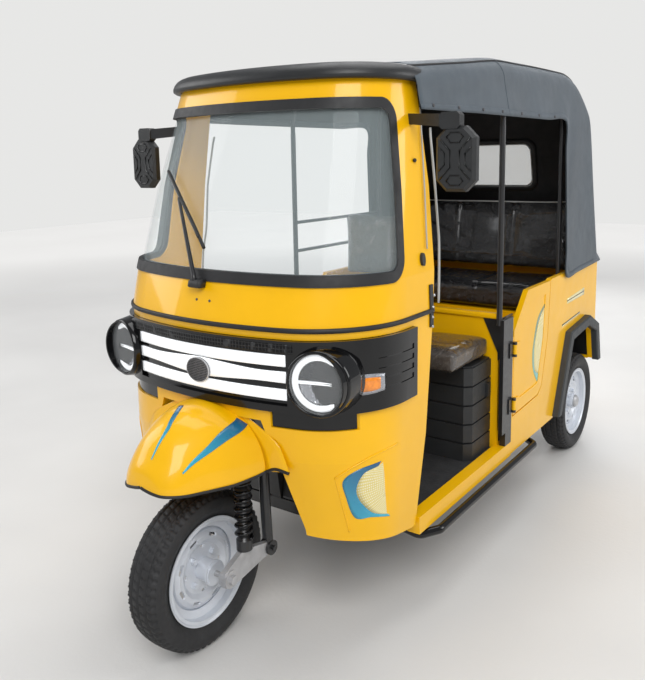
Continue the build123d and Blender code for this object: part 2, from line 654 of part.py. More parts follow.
def make_seats():
    """Driver's cushion and backrest, and the passengers' bench."""
    half = HALF_BODY - 63
    save("driver_cushion", pad(-half, half, 846, 1164, 709, 800, 26))
    save("driver_backrest", pad(-135, 135, 1040, 1098, 1020, 1262, 24))
    stay = block(-60, 60, 1098.3, 1104, 1050, 1200)
    foot_z = BULKHEAD_Z + RAIL_CAP
    for s in (1, -1):
        stay += rod((s * 42, 1108, 1190), (s * 42, BULKHEAD_Y + 7, foot_z + 5), 9)
        stay += block(s * 42 - 16, s * 42 + 16, BULKHEAD_Y - 6, BULKHEAD_Y + 20, foot_z, foot_z + 8)
    save("backrest_stay", stay)
    cushion = pad(-half, half, BENCH_Y - 20, 2130, BENCH_Z + 0.5, BENCH_Z + 125, 34)
    save("bench_cushion", cushion)
    back = Pos(0, 2175, 1090) * Rot(-8, 0, 0) * pad(-half - 3, half + 3, -45, 45, -172, 172, 34)
    save("bench_backrest", back)


def make_tub():
    """Side panels with door and wheel openings, rear panel, bench base and wheel houses."""
    wall = SIDE_WALL
    outline = [(TUB_FRONT_Y, TUB_LOW_Z), (1770, TUB_LOW_Z), (1840, TUB_LOW_Z + 50), (2404, 440),
               (TUB_REAR_Y, TUB_TOP_Z), (1706, TUB_TOP_Z), (TUB_FRONT_Y, 800)]
    side = side_plate(outline, HALF_BODY - wall, HALF_BODY)
    hole = make_face(Plane.YZ * Polyline(*DOOR_OUTLINE, close=True))
    hole = offset(hole, CLEAR)
    side -= Pos(HALF_BODY - 60, 0, 0) * extrude(hole, 120, dir=(1, 0, 0))
    side -= side_plate([(TUB_FRONT_Y - 5, 770), (TUB_FRONT_Y - 5, 1000), (1690, 1000),
                        (1690, 930), (1420, 930)], HALF_BODY - 60, HALF_BODY + 60)
    arch = [(y + dy, z + dz) for (y, z), (dy, dz) in zip(
        ARCH_OUTLINE, ((50, 0), (34, -46), (-10, -50), (-40, -34), (-48, 0)))]
    side -= side_plate([(arch[0][0] - 20, 200)] + arch + [(arch[-1][0] + 120, 200)],
                       HALF_BODY - 60, HALF_BODY + 60)
    save("tub_sides", side, mirrored(side))

    rear = block(-HALF_BODY, HALF_BODY, TUB_REAR_Y - wall, TUB_REAR_Y, 430, TUB_TOP_Z)
    rear -= block(HALF_BODY - wall, 600, 2300, 2500, 400, 1000)
    rear -= block(-600, -HALF_BODY + wall, 2300, 2500, 400, 1000)
    save("tub_rear", rear)

    inner = TRACK / 2 - TYRE_W / 2 - 22
    base = block(-HALF_BODY + wall, HALF_BODY - wall, BENCH_Y, BENCH_Y + 16, FLOOR_Z - SHEET, BENCH_Z - 16)
    deck = block(-HALF_BODY + wall, HALF_BODY - wall, BENCH_Y, TUB_REAR_Y - wall,
                 BENCH_Z - 16, BENCH_Z)
    houses = []
    for s in (1, -1):
        x0, x1 = sorted((s * inner, s * (HALF_BODY - wall)))
        shell = block(x0, x1, BENCH_Y + 16, TUB_REAR_Y - wall, 380, 600)
        cut0, cut1 = sorted((s * (inner + 5), s * (HALF_BODY + 5)))
        shell -= block(cut0, cut1, BENCH_Y + 21, TUB_REAR_Y - wall - 5, 300, 595)
        shell -= block(cut0, cut1, 2200, TUB_REAR_Y, 300, 450)
        houses.append(shell)
    save("bench_base", base + deck)
    save("wheel_houses", *houses)

    bands = []
    outer = side_plate([(ARCH_OUTLINE[0][0], 300)] + ARCH_OUTLINE[1:] + [(2424, 300)],
                       HALF_BODY, HALF_BODY + 32)
    cut = [(arch[0][0], 200)] + arch + [(arch[-1][0], 200)]
    band = outer - side_plate(cut, HALF_BODY - 40, HALF_BODY + 60)
    band -= block(400, 700, 2100, 2600, 200, 428)
    rim_edges = band.edges().filter_by(lambda e: e.center().X > HALF_BODY + 31)
    band = chamfer(rim_edges.filter_by(lambda e: e.length > 60), 6)
    save("arch_mouldings", band, mirrored(band))


def door_leaf():
    """The left half-door: a flat panel with a pressed field and a rolled top edge."""
    x0 = HALF_BODY - 22
    leaf = side_plate(DOOR_OUTLINE, x0, HALF_BODY)
    field = make_face(Plane.YZ * Polyline(*DOOR_OUTLINE, close=True))
    field = offset(field, -52, kind=Kind.INTERSECTION)
    leaf -= Pos(HALF_BODY - 3, 0, 0) * extrude(field, 10, dir=(1, 0, 0))
    strap = block(HALF_BODY, HALF_BODY + 5, 1272, 1322, -20, 20)
    straps = [Pos(0, 0, z) * strap for z in HINGE_Z]
    eyes = [Pos(HINGE_X, HINGE_Y, z) * Cylinder(8, 38) for z in HINGE_Z]
    webs = [block(HALF_BODY, HALF_BODY + 5, HINGE_Y, 1274, z - 19, z + 19) for z in HINGE_Z]
    return leaf, straps, eyes, webs


def make_doors():
    """Half-doors hinged at the front edge, with hinge straps whose eyes turn on fixed pins."""
    leaf, straps, eyes, webs = door_leaf()
    iron = [a + b + c for a, b, c in zip(straps, eyes, webs)]
    bore = Pos(HINGE_X, HINGE_Y, 600) * Cylinder(PIN_R + SHAFT_GAP, 500)
    iron = [i - bore for i in iron]
    door = leaf + iron
    save("door_left", door)
    save("door_right", mirrored(door))
    pins = []
    for z in HINGE_Z:
        pin = Pos(HINGE_X, HINGE_Y, z) * Cylinder(PIN_R, 60)
        for end in (-1, 1):
            ear = Pos(HINGE_X, HINGE_Y, z + end * 25) * Cylinder(8, 10)
            ear += block(HALF_BODY, HALF_BODY + 5, HINGE_Y - 34, HINGE_Y,
                         z + end * 25 - 5, z + end * 25 + 5)
            pin += ear
        pin += block(HALF_BODY, HALF_BODY + 5, HINGE_Y - 40, HINGE_Y - 14, z - 30, z + 30)
        pins.append(pin)
    return pins


def make_posts(pins):
    """B-posts on black channels, each with a triangular gusset to the bulkhead."""
    inner = HALF_BODY - SIDE_WALL
    channel = block(inner, HALF_BODY, BULKHEAD_Y + 14, TUB_FRONT_Y - 1, SILL_TOP_Z, 800)
    channel += block(inner + 8, HALF_BODY, BULKHEAD_Y - 20, TUB_FRONT_Y - 1, 400, BULKHEAD_Z)
    plate = make_face(Plane.XZ * Polyline((inner - 68, BULKHEAD_Z), (HALF_BODY, BULKHEAD_Z),
                                          (HALF_BODY, 640), (inner - 2, 720), close=True))
    gusset = Pos(0, BULKHEAD_Y, 0) * extrude(plate, 6, dir=(0, -1, 0))
    flange = side_plate([(BULKHEAD_Y - 6, BULKHEAD_Z), (1312, BULKHEAD_Z), (TUB_FRONT_Y - 1, 760),
                         (BULKHEAD_Y - 6, 700)], inner - 6, inner)
    post = rod((POST_X, POST_Y, 840), (POST_X, POST_Y, POST_TOP_Z), POST_R)
    whole = channel + gusset + flange + post + pins
    save("b_posts", whole, mirrored(whole))


# Canopy

def canopy_half(z):
    """Half width of the canopy: nearly upright curtains, then a roof drawn in above."""
    low, mid, high = (HEM_Z, CANOPY_HALF), (VALANCE_Z, HALF_BODY + 3), (1850, HALF_BODY - 37)
    a, b = (low, mid) if z <= mid[0] else (mid, high)
    return a[1] + (b[1] - a[1]) * (z - a[0]) / (b[0] - a[0])


def canopy_body(inset, drop):
    """Sharp-edged canopy body: roof, sloped rear, side curtain and valance, smaller by the
    inset and running on below the hems by the drop."""
    front = CANOPY_FRONT_Y - (60 if drop else 0)
    back = CURTAIN_Y + (inset if drop else 0)
    outline = [(front, VALANCE_Z - drop), (front, 1778 - inset), (1180, 1850 - inset),
               (1960, 1864 - inset), (2110 - 0.4 * inset, 1818 - inset),
               (REAR_TOP[0] - inset, REAR_TOP[1] - 0.4 * inset),
               (REAR_LOW[0] - inset + REAR_SLOPE * drop, REAR_LOW[1] - drop),
               (back + FRONT_SLOPE * (VALANCE_Z - HEM_Z + drop), HEM_Z - drop),
               (back + FRONT_SLOPE * drop, VALANCE_Z - drop)]
    section = [(canopy_half(z) - inset, z) for z in (HEM_Z - 250, VALANCE_Z, 1900)]
    section += [(-x, z) for x, z in reversed(section)]
    tube = Plane.XZ * make_face(Polyline(*section, close=True))
    return side_plate(outline, -600, 600) & extrude(tube, 3000, dir=(0, 1, 0))


def long_edges(body, inset):
    """The edges where the roof and the rear meet the two sides at one inset."""
    found = []
    for e in body.edges():
        c = e.center()
        far = c.Z > 1700 or c.Y > 2190
        if far and c.Y > CANOPY_FRONT_Y and e.length > 40 and abs(
                abs(c.X) - canopy_half(c.Z) + inset) < 1:
            found.append(e)
    return found


def pane(grow):
    """The rear window's rounded rectangle, run back through the rear curtain."""
    plane = Plane(origin=(0, 2000, 1436), x_dir=(1, 0, 0), z_dir=(0, 1, 0))
    face = plane * Rectangle(400 + 2 * grow, 222 + 2 * grow)
    return extrude(fillet(face.vertices(), 40 + grow), 500)


def make_canopy():
    """Canvas roof, valances, side curtains and rear curtain with a clear window."""
    shell = canopy_body(0, 0) - canopy_body(CANVAS, 200)
    for inset in (CANVAS, 0):
        shell = fillet(long_edges(shell, inset), SHOULDER_R - inset)
    half = CANOPY_HALF - CANVAS
    shell -= block(-half, half, 300, CURTAIN_Y + 70, 700, VALANCE_Z + 8)
    save("canopy", shell - pane(0))
    (top_y, top_z), (low_y, low_z) = REAR_TOP, REAR_LOW
    sheet = side_plate([(top_y - 4, top_z), (low_y - 4, low_z), (low_y - 7, low_z),
                        (top_y - 7, top_z)], -300, 300)
    save("rear_window", sheet & pane(-SEAT_GAP))


def make_canopy_frame():
    """Two roof rails, three hoops and a rear hoop under the canvas."""
    frame = None
    x = UPPER_ROWS[-1][3] - WALL / 2
    start = UPPER_ROWS[-1][5] + 3
    for s in (1, -1):
        rail = tube_path([(s * x, start, 1746), (s * x, 1180, 1819), (s * x, 1950, 1834)], 11, 60)
        frame = rail if frame is None else frame + rail
    # columns: half width, y, foot z, top z
    for half, y, low, high in ((POST_X, POST_Y, POST_TOP_Z, 1813), (STAY_X, STAY_Y, BENCH_Z, 1825)):
        top = half - 36
        frame += tube_path([(-half, y, low), (-half, y, KNEE_Z), (-top, y, high), (top, y, high),
                            (half, y, KNEE_Z), (half, y, low)], 10, 60)
    frame += rod((-x, 1560, 1820), (x, 1560, 1820), 10)
    foot, top = HALF_BODY - 37, HALF_BODY - 67
    hoop = tube_path([(-foot, 2350, TUB_TOP_Z - 60), (-top, 2130, 1745), (top, 2130, 1745),
                      (foot, 2350, TUB_TOP_Z - 60)], 10, 70)
    save("canopy_frame", frame, hoop)


def make_guard_bars():
    """Two bars across the right side's passenger opening."""
    bars = [rod((-POST_X, POST_Y + POST_R + SEAT_GAP, z), (-STAY_X, STAY_Y - 10 - SEAT_GAP, z), 8)
            for z in (1075, 1205)]
    save("guard_bars", *bars)


def make_mirrors():
    """Mirrors with eight-sided heads on thick box arms from the windscreen pillars."""
    reach = []
    for x, y, z, thick, tall in ((HALF_BODY - 63, 520, 1604, 18, 32),
                                 (HALF_BODY + 85, 446, 1592, 18, 36)):
        reach.append(Plane(origin=(x, y, z), x_dir=(0, 1, 0), z_dir=(1, 0, 0))
                     * Rectangle(thick, tall))
    wall = loft([plan(row_at(UPPER_ROWS, z), -SEAT_GAP) for z in (1500, 1700)], ruled=True)
    arm = loft(reach, ruled=True) - wall
    neck = block(HALF_BODY + 85, HALF_BODY + 149, 432, 462, 1566, 1614)
    neck = chamfer(neck.edges().filter_by(Axis.Y), 9)
    high, wide, cut = 92, 62, 32
    corner = [(wide, cut - high), (wide, high - cut), (wide - cut, high), (cut - wide, high),
              (-wide, high - cut), (-wide, cut - high), (cut - wide, -high), (wide - cut, -high)]
    place = Pos(HALF_BODY + 134, 434, 1482)
    face = make_face(Plane.XZ * Polyline(*corner, close=True))
    shell = place * extrude(face, 28, dir=(0, 1, 0))
    shell = chamfer(shell.faces().sort_by(Axis.Y)[0].edges(), 9)
    bed = place * Pos(0, 25, 0) * extrude(offset(face, -8, kind=Kind.INTERSECTION), 10, dir=(0, 1, 0))
    whole = arm + neck + shell - bed
    save("mirrors", whole, mirrored(whole))
    glass = place * Pos(0, 25, 0) * extrude(
        offset(face, -8 - SEAT_GAP, kind=Kind.INTERSECTION), 2.5, dir=(0, 1, 0))
    save("mirror_glasses", glass, mirrored(glass))


def make_rear_end():
    """Bumper tube, tail lamps and a blank plate."""
    x = HALF_BODY - 85
    y = REAR_TIP_Y - 18
    bar = rod((-x, y, 470), (x, y, 470), 18)
    for s in (1, -1):
        bar += rod((s * RAIL_X, TUB_REAR_Y - 6, 372), (s * RAIL_X, y, 470), 14)
        bar += block(s * RAIL_X - 24, s * RAIL_X + 24, TUB_REAR_Y - 20, TUB_REAR_Y - 12, 344, 390)
    save("rear_bumper", bar)
    lamp = block(HALF_BODY - 107, HALF_BODY - 47, TUB_REAR_Y, TUB_REAR_Y + 22, 600, 780)
    lamp = fillet(lamp.edges().filter_by(Axis.Y), 12)
    save("tail_lamps", lamp, mirrored(lamp))
    plate = block(-100, 100, TUB_REAR_Y, TUB_REAR_Y + 5, 560, 660)
    for s in (1, -1):
        plate -= Pos(s * 80, TUB_REAR_Y, 640) * Rot(90, 0, 0) * Cylinder(3.5, 40)
    save("number_plate", plate)


def make_fittings():
    """Hinge plate, oval knob, curtain stud and curtain rod on each windscreen pillar."""
    edge = block(400, 600, 533, 553, 900, 1200)
    plate = (skin(LOWER_ROWS, -5, -SEAT_GAP, 962, WAIST_Z - 14)
             + skin(UPPER_ROWS, -5, -SEAT_GAP, WAIST_Z, 1096)) & edge
    knob = Pos(450, 495, 1181) * Rot(0, 90, 0) * extrude(Ellipse(20, 11), 150)
    knob = skin(UPPER_ROWS, -9, -SEAT_GAP, 1150, 1212) & knob
    save("pillar_fittings", plate, knob, mirrored(plate), mirrored(knob))


make_wheels()
make_fork()
make_frame()
make_floor()
make_rear_axle()
make_cab()
make_lamps()
make_mudguard()
make_wiper()
make_sills()
make_bulkhead()
make_seat_box()
make_seats()
make_tub()
make_posts(make_doors())
make_canopy()
make_canopy_frame()
make_guard_bars()
make_mirrors()
make_rear_end()
make_fittings()
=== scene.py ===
"""Looks of a three-wheeled passenger auto rickshaw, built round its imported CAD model.

Metres, +Z up, the front faces -Y and +X is the vehicle's left. Lengths in the tables are in
millimetres from the front axle, as in the CAD source, and metres() brings them into the frame.
"""
import math

import bmesh
import bpy
import numpy as np
from mathutils import Matrix, Vector


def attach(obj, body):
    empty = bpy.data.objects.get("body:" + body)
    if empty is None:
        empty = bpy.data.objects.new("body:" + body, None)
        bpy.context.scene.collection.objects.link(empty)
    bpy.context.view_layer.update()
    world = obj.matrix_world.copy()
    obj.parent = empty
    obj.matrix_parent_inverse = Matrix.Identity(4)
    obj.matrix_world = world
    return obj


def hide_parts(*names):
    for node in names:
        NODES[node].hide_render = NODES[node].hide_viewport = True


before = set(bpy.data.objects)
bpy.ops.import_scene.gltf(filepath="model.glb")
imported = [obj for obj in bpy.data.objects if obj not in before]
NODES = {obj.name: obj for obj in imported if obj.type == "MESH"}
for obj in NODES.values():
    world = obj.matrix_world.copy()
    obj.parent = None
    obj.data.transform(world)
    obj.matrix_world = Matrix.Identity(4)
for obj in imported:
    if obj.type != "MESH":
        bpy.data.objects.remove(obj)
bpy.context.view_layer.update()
AXLE_Y = -1.1125
TYRE_R = 0.245
TRACK = 0.88
WHEELBASE = 2.2
SIDES = ((1, "left"), (-1, "right"))


def metres(points):
    """Millimetres from the front axle to metres in the frame."""
    out = np.asarray(points, float) / 1000
    out[..., 1] += AXLE_Y
    return out


# Materials

COAT_ROUGH = 0.06


def new_material(name):
    """A node material and its shader."""
    made = bpy.data.materials.new(name)
    made.use_nodes = True
    return made, made.node_tree, made.node_tree.nodes["Principled BSDF"]


def add_node(tree, kind, values=None):
    """A new shader node with its inputs set as feed does."""
    node = tree.nodes.new("ShaderNode" + kind)
    feed(tree, node, values or {})
    return node


def feed(tree, node, values):
    """Sets a node's inputs by name or number: a socket is linked, anything else is a value."""
    for name, value in values.items():
        if isinstance(value, bpy.types.NodeSocket):
            tree.links.new(value, node.inputs[name])
        else:
            node.inputs[name].default_value = value


def noise(tree, scale, detail=3.0, rough=0.55, distortion=0.0):
    """A noise pattern on the piece's own coordinates; returns its value."""
    place = add_node(tree, "TexCoord")
    grain = add_node(tree, "TexNoise", {"Vector": place.outputs["Object"], "Scale": scale,
                                        "Detail": detail, "Roughness": rough,
                                        "Distortion": distortion})
    return grain.outputs["Fac"]


def spread(tree, value, low, high, start=0.3, end=0.7):
    """A value brought from one range to another."""
    return add_node(tree, "MapRange", {"Value": value, "From Min": start, "From Max": end,
                                       "To Min": low, "To Max": high}).outputs["Result"]


def blend_colours(tree, value, first, second):
    """A colour between two, by a value from 0 to 1."""
    node = add_node(tree, "Mix")
    node.data_type = "RGBA"
    feed(tree, node, {"Factor": value, 6: (*first, 1.0), 7: (*second, 1.0)})
    return node.outputs[2]


def add_bump(tree, shader, height, distance):
    """One more bump on top of those the shader has."""
    node = add_node(tree, "Bump", {"Height": height, "Distance": distance, "Strength": 1.0})
    if shader.inputs["Normal"].is_linked:
        tree.links.new(shader.inputs["Normal"].links[0].from_socket, node.inputs["Normal"])
    tree.links.new(node.outputs["Normal"], shader.inputs["Normal"])


def finish_of(name, colour, rough, metal=0.0, coat=0.0, mottle=0.06, mottle_scale=5.0,
              rough_spread=0.06, grain=0.0, grain_scale=600.0, ripple=0.0, ripple_scale=6.0,
              sheen=0.0, glow=0.0, specular=0.5):
    """A finish: colour and roughness that vary softly, a fine grain and a slow ripple."""
    made, tree, shader = new_material(name)
    soft = spread(tree, noise(tree, mottle_scale), 0.0, 1.0)
    dark = tuple(c * (1 - mottle) for c in colour)
    pale = tuple(min(1.0, c * (1 + mottle)) for c in colour)
    low, high = max(0.02, rough - rough_spread), min(1.0, rough + rough_spread)
    feed(tree, shader, {
        "Base Color": blend_colours(tree, soft, dark, pale),
        "Roughness": spread(tree, noise(tree, mottle_scale * 4.3), low, high),
        "Metallic": metal, "Coat Weight": coat, "Coat Roughness": COAT_ROUGH,
        "Emission Color": (*colour, 1.0), "Emission Strength": glow,
        "Specular IOR Level": specular, "Sheen Weight": sheen, "Sheen Roughness": 0.4})
    for depth, scale in ((ripple, ripple_scale), (grain, grain_scale)):
        if depth:
            add_bump(tree, shader, noise(tree, scale, detail=2.0), depth)
    return made


def clear_material(name, tint, rough=0.03, alpha=0.2):
    """A thin clear sheet: mostly see-through, with its reflections kept."""
    made, tree, shader = new_material(name)
    soft = spread(tree, noise(tree, 3.0), 0.92, 1.0)
    feed(tree, shader, {
        "Base Color": blend_colours(tree, soft, tuple(c * 0.9 for c in tint), tint),
        "Roughness": spread(tree, noise(tree, 7.0), rough * 0.6, rough * 1.4),
        "Alpha": alpha, "IOR": 1.45})
    made.surface_render_method = "BLENDED"
    return made


def film_material(name, colour):
    """A seat cover under clear wrinkled film whose sharp creases catch the light, with painted
    highlights paler along them.
    """
    made, tree, shader = new_material(name)
    crease = 0.004
    folds = noise(tree, 13.0, detail=6.0, rough=0.62, distortion=2.2)
    # where the colour turns paler along the creases: a painted highlight
    pale = spread(tree, folds, 0.0, 1.0, 0.56, 0.72)
    # the painted highlight's colour, paler than the seat's own
    crease_highlight_colour = tuple(min(1.0, c * 2.2 + 0.03) for c in colour)
    shine = spread(tree, noise(tree, 17.0, detail=4.0, distortion=2.2), 0.05, 0.3)
    feed(tree, shader, {"Base Color": blend_colours(tree, pale, colour, crease_highlight_colour),
                        "Roughness": shine, "Coat Weight": 0.8, "Coat Roughness": COAT_ROUGH})
    add_bump(tree, shader, folds, crease * 4)
    add_bump(tree, shader, noise(tree, 38.0, detail=3.0, distortion=2.5), crease)
    return made


def cell_material(name, scale, dark, pale):
    """A mesh of small cells with raised walls between them."""
    made, tree, shader = new_material(name)
    place = add_node(tree, "TexCoord")
    cells = add_node(tree, "TexVoronoi")
    cells.feature = "DISTANCE_TO_EDGE"
    feed(tree, cells, {"Vector": place.outputs["Object"], "Scale": scale, "Randomness": 0.12})
    wall = spread(tree, cells.outputs["Distance"], 1.0, 0.0, 0.02, 0.12)
    feed(tree, shader, {"Base Color": blend_colours(tree, wall, dark, pale), "Metallic": 0.5,
                        "Roughness": spread(tree, noise(tree, 40.0), 0.28, 0.5)})
    add_bump(tree, shader, wall, 0.0015)
    return made


def swoosh_material(name, first, last):
    """A painted stripe that runs from one colour to another along its own map."""
    made, tree, shader = new_material(name)
    place = add_node(tree, "TexCoord")
    parts = add_node(tree, "SeparateXYZ", {0: place.outputs["UV"]})
    feed(tree, shader, {"Base Color": blend_colours(tree, parts.outputs[0], first, last),
                        "Roughness": spread(tree, noise(tree, 12.0), 0.2, 0.32),
                        "Coat Weight": 0.6})
    return made


def dotted_material(name, ground, dot):
    """A pale panel with rows of round dots on its own map."""
    made, tree, shader = new_material(name)
    place = add_node(tree, "TexCoord")
    wide = add_node(tree, "Mapping", {"Vector": place.outputs["UV"], "Scale": (2.0, 1.0, 1.0)})
    dots = add_node(tree, "TexVoronoi", {"Vector": wide.outputs[0], "Scale": 14.0,
                                         "Randomness": 0.0})
    spot = spread(tree, dots.outputs["Distance"], 1.0, 0.0, 0.24, 0.3)
    feed(tree, shader, {"Base Color": blend_colours(tree, spot, ground, dot),
                        "Roughness": spread(tree, noise(tree, 12.0), 0.22, 0.34)})
    return made


YELLOW = (0.90, 0.48, 0.001)
LOOKS = {
    "yellow paint": finish_of("yellow_paint", YELLOW, 0.34, coat=0.5, mottle=0.03,
        rough_spread=0.04, ripple=0.0016, ripple_scale=5.0, specular=0.2),
    "black gloss": finish_of("black_gloss", (0.004, 0.004, 0.0045), 0.09, coat=0.25, mottle=0.2,
        rough_spread=0.03, ripple=0.0006, ripple_scale=7.0, specular=0.3),
    "black paint": finish_of("black_paint", (0.012, 0.012, 0.013), 0.34, coat=0.3, mottle=0.25,
        mottle_scale=14.0, grain=0.00012, grain_scale=700.0),
    "black plastic": finish_of("black_plastic", (0.016, 0.017, 0.018), 0.52, mottle=0.15,
        mottle_scale=9.0, grain=0.0003, grain_scale=900.0),
    "grey plastic": finish_of("grey_plastic", (0.030, 0.034, 0.037), 0.5, mottle=0.12,
        mottle_scale=8.0, grain=0.0003, grain_scale=800.0),
    "rubber": finish_of("rubber", (0.011, 0.011, 0.012), 0.55, mottle=0.2, mottle_scale=12.0,
        grain=0.0002, grain_scale=500.0),
    "tyre": finish_of("tyre_rubber", (0.017, 0.017, 0.018), 0.62, mottle=0.25, mottle_scale=16.0,
        grain=0.0003, grain_scale=420.0),
    "wheel silver": finish_of("wheel_silver", (0.66, 0.69, 0.74), 0.34, metal=0.3, mottle=0.06,
        mottle_scale=10.0, grain=0.00008, grain_scale=900.0),
    "cast alloy": finish_of("cast_alloy", (0.52, 0.52, 0.53), 0.45, metal=0.6, mottle=0.14,
        mottle_scale=22.0, grain=0.0005, grain_scale=420.0),
    "bright steel": finish_of("bright_steel", (0.62, 0.62, 0.63), 0.2, metal=1.0, mottle=0.06,
        mottle_scale=20.0),
    "dark steel": finish_of("dark_steel", (0.10, 0.10, 0.105), 0.5, metal=0.8, mottle=0.3,
        mottle_scale=18.0, grain=0.0003),
    "canvas": finish_of("canvas_outside", (0.055, 0.072, 0.088), 0.58, mottle=0.12,
        mottle_scale=4.0, grain=0.0004, grain_scale=700.0, ripple=0.006, ripple_scale=5.5,
        sheen=0.15),
    "lining": finish_of("canvas_inside", (0.008, 0.008, 0.009), 0.8, mottle=0.2, grain=0.0004,
        grain_scale=700.0),
    "mat": finish_of("rubber_mat", (0.02, 0.02, 0.021), 0.7, mottle=0.3, mottle_scale=20.0,
        grain=0.0012, grain_scale=160.0),
    "white light": finish_of("white_light_bar", (0.92, 0.94, 0.96), 0.16, coat=1.0, mottle=0.03,
        mottle_scale=14.0, glow=0.55),
    "amber": finish_of("amber_lens", (0.82, 0.24, 0.01), 0.14, coat=1.0, mottle=0.2,
        mottle_scale=60.0),
    "red": finish_of("red_lens", (0.42, 0.008, 0.006), 0.14, coat=1.0, mottle=0.2,
        mottle_scale=60.0),
    "windscreen": clear_material("windscreen_glass", (0.72, 0.84, 0.86), alpha=0.12),
    "clear sheet": clear_material("clear_window_sheet", (0.82, 0.86, 0.86), rough=0.12, alpha=0.32),
    "lamp lens": clear_material("lamp_lens", (0.92, 0.96, 0.98), rough=0.03, alpha=0.07),
    "mirror": finish_of("mirror_glass", (0.82, 0.84, 0.86), 0.03, metal=1.0, mottle=0.01,
        rough_spread=0.01),
    "plate": finish_of("blank_plate", (0.62, 0.62, 0.6), 0.4, mottle=0.05),
    "black film": film_material("film_on_black_seat", (0.006, 0.006, 0.007)),
    "lamp dark": finish_of("lamp_bowl_dark", (0.02, 0.021, 0.024), 0.25, metal=0.6, mottle=0.2,
        mottle_scale=30.0),
    "lamp grey": finish_of("lamp_bowl_grey", (0.42, 0.43, 0.46), 0.24, metal=0.6, mottle=0.2,
        mottle_scale=30.0),
    "visor plastic": finish_of("visor_plastic", (0.012, 0.013, 0.014), 0.42, mottle=0.15,
        mottle_scale=6.0, grain=0.0002, grain_scale=900.0),
    "pale rubber": finish_of("pale_rubber", (0.42, 0.43, 0.42), 0.5, mottle=0.08),
    "swoosh": swoosh_material("blue_swoosh", (0.004, 0.075, 0.20), (0.03, 0.42, 0.58)),
    "green swoosh": swoosh_material("green_swoosh", (0.16, 0.20, 0.09), (0.16, 0.52, 0.50)),
    "pale stripe": finish_of("pale_stripe", (0.80, 0.72, 0.36), 0.25, coat=0.4, mottle=0.04),
    "dotted": dotted_material("dotted_panel", (0.72, 0.60, 0.22), (0.86, 0.84, 0.66)),
    "brown film": film_material("film_on_brown_seat", (0.055, 0.044, 0.036)),
    "honeycomb": cell_material("honeycomb_grille", 92.0, (0.004, 0.004, 0.005), (0.05, 0.052,
        0.055)),
    "emblem mesh": cell_material("emblem_mesh", 190.0, (0.02, 0.02, 0.022), (0.36, 0.36, 0.38)),
    "battery": finish_of("battery_case", (0.05, 0.055, 0.06), 0.55, mottle=0.15),
}

# columns: look, nodes
NODE_LOOKS = [
    ("yellow paint", "front_cowl windscreen_surround front_mudguard sills bulkhead bench_base "
                     "tub_sides tub_rear door_left door_right"),
    ("black gloss", "lamp_band emblem_disc step_bars"),
    ("black paint", "steering_fork handlebar chassis_frame floor_pan b_posts canopy_frame "
                    "guard_bars rear_bumper backrest_stay wiper front_shocks wheel_houses"),
    ("black plastic", "seat_box dash_shelf pillar_fittings visor mirrors"),
    ("grey plastic", "arch_mouldings"),
    ("rubber", "windscreen_gasket waist_moulding"),
    ("mat", "floor_mat"),
    ("tyre", "front_tyre rear_tyre_left rear_tyre_right"),
    ("wheel silver", "front_rim rear_rim_left rear_rim_right"),
    ("cast alloy", "fork_links"),
    ("dark steel", "rear_axle leaf_springs"),
    ("canvas", "canopy"),
    ("white light", "led_lights"),
    ("amber", "indicators"),
    ("red", "tail_lamps"),
    ("windscreen", "windscreen"),
    ("clear sheet", "rear_window"),
    ("lamp lens", "headlamp_lenses"),
    ("mirror", "mirror_glasses"),
    ("plate", "number_plate"),
    ("black film", "driver_cushion driver_backrest bench_cushion bench_backrest"),
    ("battery", "battery_pack"),
]


def dress_nodes():
    """Gives each CAD node its finish."""
    for look, names in NODE_LOOKS:
        for name in names.split():
            data = NODES[name].data
            data.materials.clear()
            data.materials.append(LOOKS[look])


# Meshes

def add_mesh(name, points, faces, look, body="body", uv=None):
    """A smooth mesh from arrays of points and faces, in the frame, riding on a body."""
    data = bpy.data.meshes.new(name)
    data.from_pydata(np.asarray(points, float).reshape(-1, 3).tolist(), [], faces)
    data.polygons.foreach_set("use_smooth", np.ones(len(data.polygons), bool))
    if uv is not None:
        layer = data.uv_layers.new(name="UVMap")
        loops = np.empty(len(data.loops), int)
        data.loops.foreach_get("vertex_index", loops)
        layer.data.foreach_set("uv", np.asarray(uv, float).reshape(-1, 2)[loops].ravel())
    for one in (look if isinstance(look, list) else [look]):
        data.materials.append(LOOKS[one])
    data.update()
    piece = bpy.data.objects.new(name, data)
    bpy.context.scene.collection.objects.link(piece)
    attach(piece, body)
    return piece


def grid_faces(rows, cols, wrap_rows=False, wrap_cols=False):
    """Quads of a grid of rows by cols points, closed round either way when asked."""
    i = np.arange(rows if wrap_rows else rows - 1)
    j = np.arange(cols if wrap_cols else cols - 1)
    a, b = np.meshgrid(i, j, indexing="ij")
    c, d = (a + 1) % rows, (b + 1) % cols
    quads = np.stack([a * cols + b, c * cols + b, c * cols + d, a * cols + d], -1)
    return quads.reshape(-1, 4).tolist()


def tube_points(path, radius, sides=12):
    """Rings of points round a path: each ring's plane is square to the path there, and its
    radius is the given number or one number per point of the path."""
    path = np.asarray(path, float)
    along = np.gradient(path, axis=0)
    along /= np.linalg.norm(along, axis=1)[:, None]
    side = np.cross(along, (0.0, 0.0, 1.0))
    weak = np.linalg.norm(side, axis=1) < 0.05
    side[weak] = np.cross(along[weak], (1.0, 0.0, 0.0))
    side /= np.linalg.norm(side, axis=1)[:, None]
    up = np.cross(side, along)
    turn = np.linspace(0, 2 * np.pi, sides, endpoint=False)
    size = np.broadcast_to(np.asarray(radius, float), (len(path),))[:, None, None]
    ring = np.cos(turn)[None, :, None] * side[:, None] + np.sin(turn)[None, :, None] * up[:, None]
    return path[:, None] + size * ring


